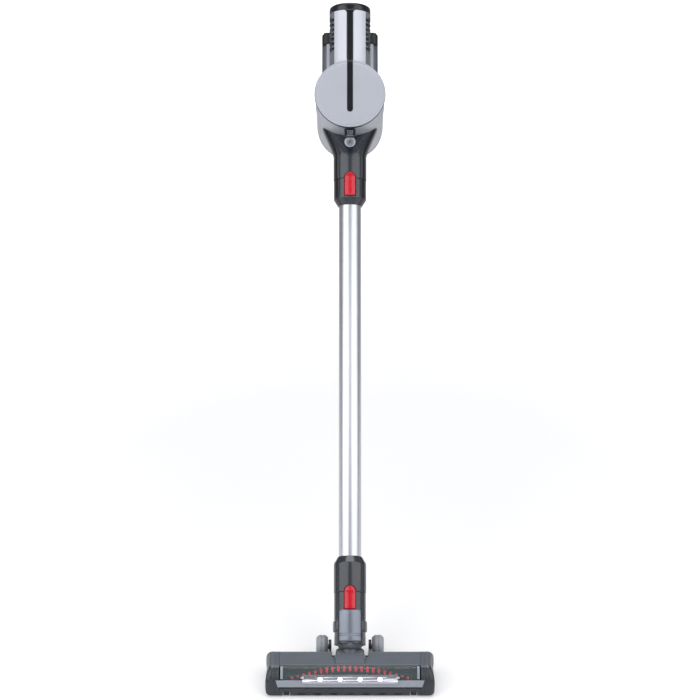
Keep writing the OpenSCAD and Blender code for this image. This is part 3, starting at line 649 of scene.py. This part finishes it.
piece("inlet_funnel", [shell(np.array(rows))], on_wand, "handheld", GLOSS_GRAY,
      ("inlet_duct",), 42)


def duct_rib_and_shade_band():
    """The black rib that edges the duct: the duct's own side, lifted by RIB_LIFT, from seam to cup. On the
    flare it is a raised rib; along the duct's round lower part its black is painted shade, where the duct
    turns away from the lights.
    """
    ang = np.radians(np.linspace(*BAND, 19))
    foot = DUCT_FOOT + 0.2
    t = np.linspace(0, 1, 44)[:, None]
    z = foot + (duct_top(ang, 0, 0.4)[None] - foot) * t
    aa = np.broadcast_to(ang, z.shape)
    top = duct_point(aa, z, RIB_LIFT * square_edge(19)[None] * np.ones_like(z))
    root = duct_point(aa, z, -BAND_ROOT)
    return np.concatenate([np.stack([*top, z], -1), np.stack([*root, z], -1)[:, ::-1]], 1)


rib = duct_rib_and_shade_band()
# black strips along the duct's edges: ribs on the flare, painted shade on the round part below
piece("duct_ribs_and_painted_shade", [shell(rib), shell(mirrored(rib))], on_wand, "handheld", BLACK_GLOSS)

# round button on its boss under the cup
BOSS_Z, BOSS_Y, KNOB_Y, KNOB_EYE_R = 796.2, -10.8, -15.9, 3.0
boss = fillet([(0.5, 0), (10.3, 0), (10.3, 8.2, 0.8), (9.3, 8.2), (9.2, 2.4), (0.5, 2.4)], 5)[1:-1]
boss = about_front(lathe(boss, around(64)), BOSS_Z, BOSS_Y)
piece("round_button_boss", [shell(boss)], on_wand, "handheld", BLACK_GLOSS)
knob = fillet([(0.4, 0), (8.6, 0), (8.6, 4.6, 1.2), (6.6, 4.9, 0.6), (5.6, 4.2, 0.6), (3.2, 4.2, 0.5),
               (2.5, 3.0, 0.4), (0.4, 3.0)], 5)[1:-1]
knob = about_front(lathe(knob, around(64)), BOSS_Z, KNOB_Y)
piece("round_button_cap", [shell(knob)], on_wand, "round_button", BUTTON_SILVER,
      ("round_button",), second=(MID_GRAY, lambda m: np.hypot(m[:, 0], m[:, 2] - BOSS_Z) < KNOB_EYE_R))

# latch between the cover and the round button, with a finger tab that hangs in front of the button
LATCH_W, LATCH_FACE, LATCH_MIDDLE = 17.2, -53.5, -22.75
EYE_Y, EYE_Z, EYE_R = -60.8, -9.6, 4.5
latch = stack(box_outline(LATCH_W, 26.5, 2.6), eased(0, 3.1, 0.8))
px, py, pz = np.moveaxis(latch, -1, 0)
latch = np.stack([px, LATCH_FACE - pz, py + LATCH_MIDDLE], -1)
tab = stack(box_outline(LATCH_W, 11.5, 2.4), eased(-15.5, -9.5, 0.9)) - np.array([0, 61.2, 0])
eye = fillet([(0.3, 0), (4.6, 0), (4.6, 0.6, 0.3), (3.7, 0.6, 0.3), (3.3, 0.1), (1.3, 0.1, 0.2),
              (0.3, 0.3)], 4)[1:-1]
eye = lathe(eye, around(40)) + np.array([0, EYE_Y, EYE_Z])


def on_eye(m):
    """Faces of the tab's round eye, in front of the tab."""
    return (np.hypot(m[:, 0], m[:, 1] - EYE_Y) < EYE_R) & (m[:, 2] > EYE_Z + 0.05)


piece("cup_latch_slider", [shell(latch), shell(tab), shell(eye)], on_cyclone, "cup_latch", BLACK_GLOSS,
      ("cup_latch",), second=(MID_GRAY, on_eye))

# ---- round cover and stripe
COVER_R, COVER_BACK = 54.7, -6.0
GROOVE_IN, GROOVE_OUT, GROOVE_DEPTH = 51.1, 51.6, 0.3
RIM_R, RIM_DROP = 52.0, 2.2


def dome(r):
    """The cover's crown: 0.6 mm at the middle, 0.1 at the rim groove."""
    return 0.6 - 0.5 * (r / 51.0) ** 2


def dark_rim(m):
    """Faces of the cover's side wall, outside its crown."""
    return (m[:, 2] < -0.55) & (np.hypot(m[:, 0], m[:, 1]) > RIM_R)


crown_r = np.linspace(50.6, 1.0, 16)
edge = fillet([(50, COVER_BACK), (54.2, COVER_BACK), (COVER_R, COVER_BACK + 0.6, 0.5),
               (COVER_R, 0.0, RIM_DROP), (RIM_R, 0.0, 0.4), (GROOVE_OUT, -GROOVE_DEPTH, 0.2),
               (GROOVE_IN, -GROOVE_DEPTH, 0.2),
               (50.6, dome(50.6))], 6)
cover = np.vstack([[(1, COVER_BACK), (50, COVER_BACK)], edge[1:], np.stack([crown_r, dome(crown_r)], -1)[1:]])
piece("round_cover", [shell(lathe(cover, around(128)))], on_cyclone, "handheld", COVER_GRAY,
      ("top_cover",), 50, second=(BLACK_GLOSS, dark_rim))

STRIPE_HALF, STRIPE_END = 4.65, -25.05
MOTOR_R, MOTOR_FOOT, MOTOR_TOP = 32.0, 905.0, 1002.0
SPREAD = 5.6
OVER_RIM, RIM_EASE = 54.2, 2.9


def cover_surface(u, v, h):
    """The cover at (u, v), raised by h: its crown, then its rounded rim down to RIM_DROP, then
    straight down its side beyond the radius OVER_RIM."""
    r = np.hypot(u, v)
    rim = np.clip((r - GROOVE_OUT) / RIM_EASE, 0, 1)
    over = np.clip(r - OVER_RIM, 0, None)
    flat = np.where(r > OVER_RIM, OVER_RIM / r, 1.0)
    z = dome(np.minimum(r, 51)) + h - RIM_DROP * (1 - np.sqrt(1 - rim**2)) - over
    return np.stack([u * flat, v * flat + (h > 0) * np.clip(over, 0, 0.7), z], -1)


def stripe_half(v):
    """The stripe's half width: constant, then a half circle about STRIPE_END."""
    down = np.clip((STRIPE_END - v) / STRIPE_HALF, 0, 1)
    return STRIPE_HALF * np.sqrt(1 - down**2) + 0.01


v = np.concatenate([STRIPE_END - STRIPE_HALF * np.cos(np.linspace(0, math.pi / 2, 12)),
                    np.linspace(-24, 52, 34), np.linspace(52.4, 57.6, 14)])
disc_stripe = shell(on_cyclone(plate(v, lambda q: 0 * q, stripe_half, cover_surface, 0.75, 0.7, 0.9)))


def motor_surface(u, v, h):
    """Round the motor: arc length u from the front at radius MOTOR_R, height v."""
    return round_wand(MOTOR_R + h, u / MOTOR_R, v)


def spread(v):
    """How far the stripe widens under the cap: a quarter circle of radius SPREAD."""
    up = np.clip((v - (MOTOR_TOP - 0.6 - SPREAD)) / SPREAD, 0, 1)
    return SPREAD * (1 - np.sqrt(1 - up**2))


v = np.concatenate([np.linspace(914, 994, 20), np.linspace(995, MOTOR_TOP - 0.62, 16)])
motor_stripe = plate(v, lambda q: 0 * q, lambda q: STRIPE_HALF + spread(q), motor_surface, 1.0, 0.5, 0.6, 17)
motor_stripe = shell(on_motor(motor_stripe))
piece("cover_stripe", [disc_stripe, motor_stripe], lambda p: p, "handheld", BLACK_GLOSS,
      ("stripe",), 50)

PANEL_OUT = 48.8 * math.pi / 180 * MOTOR_R


def panel_inner(q):
    """Where a motor panel begins, beside the stripe."""
    return STRIPE_HALF + 0.4 + spread(q)


panels = [shell(plate(v, lambda q: side * (PANEL_OUT + panel_inner(q)) / 2,
                      lambda q: (PANEL_OUT - panel_inner(q)) / 2, motor_surface, 0.9, 0.9, 0.6, 21))
          for side in (-1, 1)]
piece("motor_front_panels", panels, on_motor, "handheld", PEARL, ("motor_panels",), 50)

# ---- motor housing with louvres
VENT_FOOT, VENT_PITCH, VENTS = 940.0, 7.7, 7
VENT_HALF_L, VENT_HALF_W, VENT_DEPTH = 19.0, 2.5, 3.2
VENT_MIDDLE = 88.0


def louvres(a, r, z):
    """VENTS slots a side, each a rounded bar about the angle VENT_MIDDLE, VENT_DEPTH deep."""
    deg = np.degrees(np.abs(((a + math.pi) % (2 * math.pi)) - math.pi))
    u = np.radians(deg - VENT_MIDDLE) * MOTOR_R
    depth = np.zeros_like(r)
    for i in range(VENTS):
        mid = VENT_FOOT + 2.4 + VENT_PITCH * i
        d = np.hypot(np.maximum(np.abs(u) - VENT_HALF_L, 0), z - mid) - VENT_HALF_W
        depth = np.maximum(depth, np.clip(0.5 - d / 0.6, 0, 1))
    return np.where(r > MOTOR_R - 0.5, r - VENT_DEPTH * depth, r)


def vent_painted_shade(m):
    """Faces of the slots and of the bars between them, behind the front panels; their black is painted shade,
    the dark of the recessed louvres.
    """
    near = (np.abs(m[:, 2] - VENT_FOOT - 25) < 29.5) & (m[:, 1] < MOTOR_R * 0.55)
    return near & ((np.hypot(m[:, 0], m[:, 1]) < MOTOR_R - 1.0) | (np.abs(m[:, 0]) > MOTOR_R * 0.89))


housing = np.vstack([[(2, 962), (28.5, 962), (28.5, 990), (28.7, MOTOR_TOP)],
                     fillet([(28.7, MOTOR_TOP), (MOTOR_R, MOTOR_TOP, 0.5), (MOTOR_R, 1000)], 4)[1:],
                     fine(VENT_FOOT - 1, 999.6, MOTOR_R, 0.45)[::-1],
                     fillet([(MOTOR_R, 938), (MOTOR_R, MOTOR_FOOT, 1.5), (28, MOTOR_FOOT)], 4),
                     [(2, MOTOR_FOOT)]])
# the louvres' black is painted shade in the slots and over the bars between them
piece("motor_shell", [shell(lathe(housing, np.arange(-180, 180, 1.8), louvres))], on_motor, "handheld",
      MID_GRAY, ("motor_housing",), 50, second=(BLACK_SATIN, vent_painted_shade))


# exhaust cap with twelve radial slots in its top
CAP_FOOT, CAP_TOP = 1002.4, 1013.9
SLOT_TURN, SLOT_HALF, SLOT_IN, SLOT_OUT, SLOT_DEPTH = 30, 1.7, 8.6, 22.4, 2.6
wall = fillet([(23, CAP_FOOT), (MOTOR_R, CAP_FOOT, 0.4), (MOTOR_R, 1013.2, 4.6), (24, 1013.8)], 8)
cap = np.vstack([[(1, CAP_FOOT), (23, CAP_FOOT)], wall[1:],
                 np.stack([np.linspace(23.5, 1.5, 30), np.full(30, CAP_TOP)], -1)])
rings = lathe(cap, np.arange(-180, 180, 1.5))
r = np.hypot(rings[..., 0], rings[..., 1])
turn = np.degrees(np.arctan2(rings[..., 0], -rings[..., 1])) + SLOT_TURN / 2
from_slot = np.abs(turn % SLOT_TURN - SLOT_TURN / 2) * math.pi / 180 * r
cut = (np.clip((SLOT_HALF - from_slot) / 0.5, 0, 1) * np.clip((r - SLOT_IN) / 0.6, 0, 1)
       * np.clip((SLOT_OUT - r) / 0.6, 0, 1))
rings[..., 2] -= np.where(rings[..., 2] > 1013, SLOT_DEPTH * cut, 0)
piece("exhaust_cap_slotted", [shell(rings)], on_motor, "exhaust", BLACK_GLOSS,
      ("exhaust_cap",), 42)


PLEATS, PLEAT_DEPTH = 60, 0.7


def pleats(a, r, z):
    """The filter's folds: the outer radius moves by PLEAT_DEPTH sin(PLEATS a)."""
    return r + np.where(r > 20, PLEAT_DEPTH * np.sin(a * PLEATS), 0)


sleeve = [(2, 976), (23, 976), (23.2, 978), (23.2, 1000), (23.2, 1009), (2, 1009)]
piece("pleated_filter", [shell(lathe(sleeve, around(360), pleats))], on_motor, "exhaust", FILTER,
      ("exhaust_filter",))

# ---- neck of the floor head
NECK_FOOT, NECK_BORE, SWING_Z, HOOD_R = 18.7, 20.4, 15.5, 7.2
neck_profile = np.vstack([
    fillet([(NECK_BORE, NECK_FOOT), (NECK_R, NECK_FOOT, 0.8), (NECK_R, 30)], 5), fine(31, 66, NECK_R, 3.5),
    fine(68, 96.2, NECK_R), [(NECK_R, 96.6), (NECK_R - 0.3, LOW_SEAM), (17.1, LOW_SEAM), (17.1, 60), (14, 60),
                             (14, 45), (NECK_BORE, 42), (NECK_BORE, 30)]])
neck = lathe(neck_profile, FRONT_DENSE, pocket(LOWER_BUTTON))
# an arch cut into the front of the neck's foot, round the knuckle
in_arch = (neck[..., 1] < 0) & (np.hypot(neck[..., 0], neck[..., 2] - SWING_Z) < HOOD_R)
arch = SWING_Z + np.sqrt(np.maximum(HOOD_R**2 - neck[..., 0] ** 2, 0))
neck[..., 2] = np.where(in_arch, np.maximum(neck[..., 2], arch), neck[..., 2])
wing_z = np.array([38.0, 38.6, 40.2, 43, 46, 50, 52.8, 54.4, 55.0])
wing_lift = np.array([0.3, 1.4, 2.1, 2.3, 2.3, 2.3, 2.1, 1.4, 0.3])
wing = side_band(wing_z, lambda q: NECK_R + 0 * q, wing_lift, 48, 140, 23)
piece("neck_sleeve", [shell(neck, loop=True), shell(wing), shell(mirrored(wing))], on_wand, "neck",
      GLOSS_GRAY, ("neck_tube",), 42)
# black bands on the neck's sides: painted shade where the neck turns away from the lights
shade_band_pair("neck_painted_shade_bands", np.linspace(56, 96.6, 8), lambda q: NECK_R + 0 * q, "neck", 0.35, LOW_BAND)


PANEL_HALF, PANEL_THICK = 17.6, 0.95
GROOVE_CUT = 0.45
GROOVES = ((33.6, 0.55), (30.6, 0.45))


def neck_face(u, v, h):
    """Round the neck: arc length u from the front at radius NECK_R, with the panel's two grooves at
    the heights and widths in GROOVES."""
    groove = sum(GROOVE_CUT * np.exp(-(((v - height) / width) ** 2)) for height, width in GROOVES)
    return round_wand(NECK_R + h - np.where(h > 0.2, groove, 0), u / NECK_R, v)


v = np.concatenate([np.linspace(22.2, 29.5, 8), np.linspace(29.8, 35, 22),
                    np.linspace(36, LOW_SEAM - 27.4, 14)])
panel = plate(v, lambda q: 0 * q, lambda q: PANEL_HALF + 0 * q, neck_face, PANEL_THICK, 0.8, 0.5, 25)
piece("neck_front_panel", [shell(panel)], on_wand, "neck", NECK_SILVER, ("neck_panel",), 50)

# ---- floor head
FRONT_ARC, FRONT_ARC_R = (26.5, 17.5), 25.6
REAR_ARC, REAR_ARC_R = (50.0, 20.5), 22.6
BODY_W, SOLE_Z = 210.0, 1.5
BRUSH_AT, BRISTLE_R = (24.0, 19.5), 17.8
WHEEL_AT, WHEEL_X = (107.8, 18.0), 42.0
ROLLER_AT, ROLLER_X = (6.8, 6.5), 94.5


def arc(c, r, a0, a1, n):
    """n + 1 points of a circle about c, from the angle a0 to a1 in degrees."""
    t = np.radians(np.linspace(a0, a1, n + 1))
    return np.stack([c[0] + r * np.cos(t), c[1] + r * np.sin(t)], -1)


def head_outline():
    """The head's side view: upright nose, front arc, rear arc, flat sole."""
    nose = [(4, SOLE_Z), (2, SOLE_Z), (0.6, 2.8), (0, 4.4), (0.1, 9), (0.4, 14)]
    back = [(72.6, 14), (72.6, 6), (72.2, 2.4), (70.8, SOLE_Z)]
    front, rear = arc(FRONT_ARC, FRONT_ARC_R, 176, 98, 26), arc(REAR_ARC, REAR_ARC_R, 94, 0, 30)
    return np.vstack([nose, front, rear, back])[::-1]


CAP_END = ([0, 12, 24, 34, 40, 44], [124.6, 125.9, 125.9, 124.8, 122.8, 120.0])
CAP_GROOVES, CAP_GROOVE_CUT = (107.4, 110.2, 113.0, 115.8), 0.55
CAP_PROUD, CAP_ROUND = 0.35, 5.2
CAP_GRAY_ABOVE = 41.5


def end_cap(side):
    """The head's outline carried along X to a bulging end, whose reach over the height z is
    CAP_END. The rim rounds off over the last 9 mm, and four grooves run round it."""
    outline = head_outline()
    x_end = np.interp(outline[:, 1], *CAP_END)
    x = np.concatenate([np.linspace(BODY_W / 2 + 0.1, 108, 8), np.linspace(108.2, 112, 14),
                        np.linspace(112.3, 116, 12), 116 + 10 * np.sin(np.linspace(0.05, math.pi / 2, 16))])
    t = (x - x[0]) / (x[-1] - x[0])
    last = np.clip((x - 117) / 9, 0, 1)
    inset = -CAP_PROUD + CAP_ROUND * (1 - np.sqrt(1 - last**2))
    for mid in CAP_GROOVES:
        inset = inset + CAP_GROOVE_CUT * np.exp(-(((x - mid) / 0.5) ** 2))
    inset[0] = 0.2
    rings = stack(outline, np.stack([inset, x], -1))
    place_x = x[0] + t[:, None] * (x_end[None] - x[0])
    return np.stack([side * place_x, rings[..., 0], np.maximum(rings[..., 1], SOLE_Z)], -1)


caps = [shell(end_cap(side)) for side in (-1, 1)]
pin = lathe([(1, 95), (3, 95), (3, 106), (1, 106)], around(24))
pins = [shell(about_x(pin * np.array([1, 1, side]), BRUSH_AT)) for side in (-1, 1)]
piece("head_end_caps", caps + pins, on_head, "floor_head", HEAD_DARK, ("end_caps",), 50,
      second=(HEAD_GRAY, lambda m: m[:, 2] > CAP_GRAY_ABOVE))

# name, node, body, material, slot, bevel
for row in (
        ("head_top_shell", "head_cover", "floor_head", HEAD_GRAY, "mid_gray_plastic", 0.4),
        ("neck_fairing", "fairing", "floor_head", STEEL_GRAY, "dark_gray_plastic", 0.9),
        ("sole_frame", "base_frame", "floor_head", HEAD_DARK, "dark_gray_plastic", 0.35),
        ("brush_window_clear", "brush_window", "floor_head", WINDOW, "smoke_window", 0.3),
        ("bumper_strip", "silver_strip", "floor_head", STRIP_GRAY, "light_gray_plastic", 0.5),
        ("light_bar_chrome", "light_bar", "floor_head", CHROME, "chrome_bar", 0.3),
        ("light_lenses", "led_lenses", "floor_head", LENS, "led", 0.2)):
    eased_copy(*row)


def two_sided(half):
    """A turned profile mirrored about its middle height; half runs from one end to the middle."""
    return half + [(corner[0], -corner[1], *corner[2:]) for corner in half[::-1]]


def wheel(side):
    """A rear wheel: rounded tread with a shallow groove round its middle, a ring on each face."""
    half = [(4.1, -9), (9, -9, 0.5), (9.6, -7.8, 0.5), (11.6, -7.8, 0.5), (12.2, -9, 0.5), (14.4, -9, 1.4),
            (18, -4.6, 3.6), (18, -1.4), (17.6, -1.0)]
    rings = lathe(fillet(two_sided(half), 6), around(80))
    return shell(about_x(rings, WHEEL_AT, side * WHEEL_X), loop=True)


def roller(side):
    """A small front roller, with a groove on each face."""
    half = [(1.6, -4.6), (4.2, -4.6, 0.4), (4.6, -4.1, 0.3), (5.4, -4.6, 0.4), (6.5, -3.4, 0.9)]
    rings = lathe(fillet(two_sided(half), 5), around(48))
    return shell(about_x(rings, ROLLER_AT, side * ROLLER_X), loop=True)


for name, node, shape, material, slot in (
        ("rear_wheel_left", "rear_wheel_l", wheel(-1), WHEEL_GRAY, "wheel_plastic"),
        ("rear_wheel_right", "rear_wheel_r", wheel(1), WHEEL_GRAY, "wheel_plastic"),
        ("front_roller_left", "front_roller_l", roller(-1), BLACK_SATIN, "black_plastic"),
        ("front_roller_right", "front_roller_r", roller(1), BLACK_SATIN, "black_plastic")):
    piece(name, [shape], on_head, node, material, (node,))

TUFT_START, TUFT_TURN, TUFT_PITCH = -30, 9, 8.6
CORE_BORE, CORE_R = 3.1, 9.0


def core_grooves(a, r, z):
    """Shallow helical flutes: r drops by 0.5 mm along lines where the turn follows |z|."""
    twist = a * 2 - np.abs(z) * math.radians(2 * TUFT_TURN / TUFT_PITCH)
    return np.where(r > 8.5, r - 0.5 * np.clip(np.cos(twist), 0, 1) ** 6, r)


core = fillet([(CORE_BORE, -100.5), (8.2, -100.5, 0.6), (CORE_R, -99, 0.6), (CORE_R, 91, 0.6), (8.2, 92, 0.3),
               (8.2, 100.5, 0.5), (CORE_BORE, 100.5)], 4)
core = np.vstack([core[:8], np.stack([np.full(60, CORE_R), np.linspace(-98, 90, 60)], -1), core[-12:]])
piece("brush_roll", [shell(about_x(lathe(core, around(64), core_grooves), BRUSH_AT), loop=True)], on_head,
      "brush", BLACK_SATIN, ("brush_core",))

FILAMENTS, GOLDEN_ANGLE = 11, 2.39996
FILAMENT_R = (0.42, 0.38, 0.2)
ROOT_SPREAD, TIP_SPREAD = 1.5, 2.6


def tufts():
    """Two chevron rows of 21 tufts; a tuft is eleven five-sided filaments, splayed outwards from its
    root on the core to the bristle circle. Filament k of a tuft leans by its golden-angle place."""
    out = []
    k = np.arange(FILAMENTS)
    spot = np.sqrt((k + 0.5) / FILAMENTS) * np.array([np.cos(k * GOLDEN_ANGLE), np.sin(k * GOLDEN_ANGLE)])
    five = np.linspace(0, 2 * math.pi, 5, endpoint=False)
    for side in (0, 180):
        for i in range(-10, 11):
            turn = math.radians(TUFT_START + abs(i) * TUFT_TURN + side)
            outward = np.array([0, -math.sin(turn), math.cos(turn)])
            across = np.array([0, math.cos(turn), math.sin(turn)])
            along = np.array([1.0, 0, 0])
            root = np.array([i * TUFT_PITCH, *BRUSH_AT])
            for f in range(FILAMENTS):
                lean = along * spot[0, f] + across * spot[1, f]
                base = root + outward * (CORE_R - 0.4) + lean * ROOT_SPREAD
                tip = root + outward * (BRISTLE_R - 0.3) + lean * TIP_SPREAD
                ring = np.cos(five)[:, None] * along + np.sin(five)[:, None] * across
                middles = zip((base, (base + tip) / 2, tip), FILAMENT_R)
                out.append(shell(np.array([middle + ring * radius for middle, radius in middles])))
    return out


piece("brush_tufts", tufts(), on_head, "brush", GLOWING_BRISTLE, ("bristles",), 60)

# ---- frames at the window's ends, made pale as a painted highlight
def window_end(x0, x1):
    """A pale strip on the window's end: the front arc from 108 to 152 degrees, raised 0.35 mm. The frame is
    the head's own; its pale colour is a painted highlight, the frame catching light.
    """
    outer = arc(FRONT_ARC, FRONT_ARC_R + 0.35, 108, 152, 13)
    inner = arc(FRONT_ARC, FRONT_ARC_R - 1.0, 152, 108, 13)
    outline = np.vstack([outer, inner])
    t = np.array([x0, x0 + 0.3, x1 - 0.3, x1])
    ease = np.array([0.3, 0.0, 0.0, 0.3])
    rings = stack(outline[::-1], np.stack([ease, t], -1))
    return shell(np.stack([rings[..., 2], rings[..., 0], rings[..., 1]], -1))


piece("window_end_highlight_strips", [window_end(-103.4, -99.6), window_end(99.6, 103.4)], on_head, "floor_head",
      STRIP_GRAY)

# ---- the rest: solids with eased edges
# name, node, body, material, slot, bevel
for row in (
        ("swivel_ball", "swivel_knuckle", "knuckle", HEAD_GRAY, "mid_gray_plastic", 0.5),
        ("cyclone_ring", "cyclone_head", "handheld", CUP_SILVER, "light_gray_plastic", 0.4),
        ("cup_body", "dust_cup", "dust_cup", CUP_SILVER, "light_gray_plastic", 0.35),
        ("cup_lid_pan", "cup_lid", "cup_lid", MID_GRAY, "mid_gray_plastic", 0.4),
        ("lid_latch_tab", "lid_latch", "lid_latch", RED, "red_plastic", 0.7),
        ("handle_body", "handle", "handheld", GLOSS_GRAY, "dark_gray_plastic", 0.5),
        ("handle_grip", "grip", "handheld", RUBBER, "rubber", 0.5),
        ("trigger_lever", "trigger", "trigger", RED, "red_plastic", 1.0),
        ("dock_block", "battery_dock", "handheld", MID_GRAY, "mid_gray_plastic", 0.5),
        ("dock_front", "dock_cover", "handheld", COVER_GRAY, "silver_plastic", 0.8),
        ("pack_shell", "battery_shell", "battery", STEEL_GRAY, "mid_gray_plastic", 0.6),
        ("pack_cap", "battery_cap", "battery", BLACK_SATIN, "black_plastic", 0.9),
        ("pack_button_left", "battery_button_l", "battery_button_l", RED, "red_plastic", 0.5),
        ("pack_button_right", "battery_button_r", "battery_button_r", RED, "red_plastic", 0.5)):
    eased_copy(*row)

# pieces that keep the solid's own mesh
INNER = {
    "cover_gasket": BLACK_SATIN, "motor_can": STEEL, "cyclone_cones": MID_GRAY, "shroud": STEEL,
    "control_board": BOARD, "housing_screws": STEEL, "impeller": BUTTON_SILVER, "cup_pins": STEEL,
    "battery_cells": CELL, "charge_jack": STEEL, "wire_duct": BLACK_SATIN, "knuckle_pins": STEEL,
    "axle_pins": STEEL, "drive_motor": STEEL, "belt": RUBBER, "motor_pulley": BLACK_SATIN}
for node, material in INNER.items():
    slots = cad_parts[node].data.materials
    if not len(slots):
        slots.append(material)
    for k in range(len(slots)):
        slots[k] = material

# ---- floor, light and camera
# metres from here on
FLOOR_HALF, FLOOR_FLAT, FLOOR_BEND = 9.0, 6.0, 3.0
FLOOR_COLOUR = (0.82, 0.82, 0.83, 1)
# the floor glows less within GLOW_FROM metres of the object: painted shade round it
GLOW_FROM, GLOW_TO, FLOOR_GLOW = 0.5, 2.2, (0.25, 0.9)


def floor():
    """A plain pale floor that curves up far behind: z = R - sqrt(R^2 - (y - flat)^2). To the eye
    alone it glows a little, more so away from the object; the weaker glow near it is painted shade round the
    object."""
    y = np.concatenate([[-FLOOR_HALF], np.linspace(FLOOR_FLAT, FLOOR_HALF, 24)])
    bend = np.sqrt(np.maximum(FLOOR_BEND**2 - (y[1:] - FLOOR_FLAT) ** 2, 0))
    z = np.concatenate([[0.0], FLOOR_BEND - bend])
    x = np.array([-FLOOR_HALF, FLOOR_HALF])
    grid = np.stack(np.broadcast_arrays(x[None, :], y[:, None], z[:, None]), -1).reshape(-1, 3)
    i = np.arange(len(y) - 1)
    faces = np.stack([2 * i, 2 * i + 1, 2 * i + 3, 2 * i + 2], -1)
    mesh = bpy.data.meshes.new("floor")
    mesh.from_pydata(grid.tolist(), [], faces.tolist())
    mesh.shade_smooth()
    mat = bpy.data.materials.new("pale_floor")
    mat.use_nodes = True
    tree = mat.node_tree
    bsdf = tree.nodes["Principled BSDF"]
    bsdf.inputs["Base Color"].default_value = FLOOR_COLOUR
    bsdf.inputs["Roughness"].default_value = 0.7
    bsdf.inputs["Specular IOR Level"].default_value = 0.1
    bsdf.inputs["Emission Color"].default_value = (1.0, 1.0, 1.0, 1)
    far = tree.nodes.new("ShaderNodeVectorMath")
    far.operation = "LENGTH"
    tree.links.new(tree.nodes.new("ShaderNodeTexCoord").outputs["Object"], far.inputs[0])
    lift = tree.nodes.new("ShaderNodeMath")
    lift.operation = "MULTIPLY"
    tree.links.new(tree.nodes.new("ShaderNodeLightPath").outputs["Is Camera Ray"], lift.inputs[0])
    tree.links.new(reach(tree, far.outputs["Value"], GLOW_FROM, GLOW_TO, *FLOOR_GLOW), lift.inputs[1])
    tree.links.new(lift.outputs["Value"], bsdf.inputs["Emission Strength"])
    mesh.materials.append(mat)
    linked("floor", mesh)


def facing(place, target):
    """The turn that points an object's -Z from place to target, with Y up."""
    return (Vector(target) - Vector(place)).to_track_quat("-Z", "Y").to_euler()


def soft_light(name, place, target, size, power):
    """A rectangular light of the given size in metres and power in watts."""
    data = bpy.data.lights.new(name, "AREA")
    data.shape = "RECTANGLE"
    data.size, data.size_y = size
    data.energy = power
    obj = linked(name, data)
    obj.location = place
    obj.rotation_euler = facing(place, target)


floor()
MIDDLE = (0.0, -0.05, 0.4)
soft_light("left_wall", (-1.4, -0.95, 1.5), MIDDLE, (2.5, 2.4), 29)
soft_light("right_wall", (1.4, -0.95, 1.5), MIDDLE, (2.5, 2.4), 26)
soft_light("overhead", (0.0, 0.7, 3.2), MIDDLE, (2.6, 1.6), 34)
soft_light("front_low", (0.0, -3.2, 0.6), (0, -0.3, 0.1), (2.0, 0.4), 7)

world = bpy.data.worlds.new("studio")
world.use_nodes = True
background = world.node_tree.nodes["Background"]
background.inputs["Color"].default_value = (0.93, 0.95, 1.0, 1)
background.inputs["Strength"].default_value = 0.22
bpy.context.scene.world = world
bpy.context.scene.view_settings.view_transform = "Standard"

CAMERA_AT, CAMERA_AIM = (0.0, -4.244, 2.621), (0.0, -0.0501, 0.391)
camera_data = bpy.data.cameras.new("camera")
camera_data.lens, camera_data.sensor_width = 159.7, 36.0
camera = linked("camera", camera_data)
camera.location = CAMERA_AT
camera.rotation_euler = facing(CAMERA_AT, CAMERA_AIM)
bpy.context.scene.camera = camera
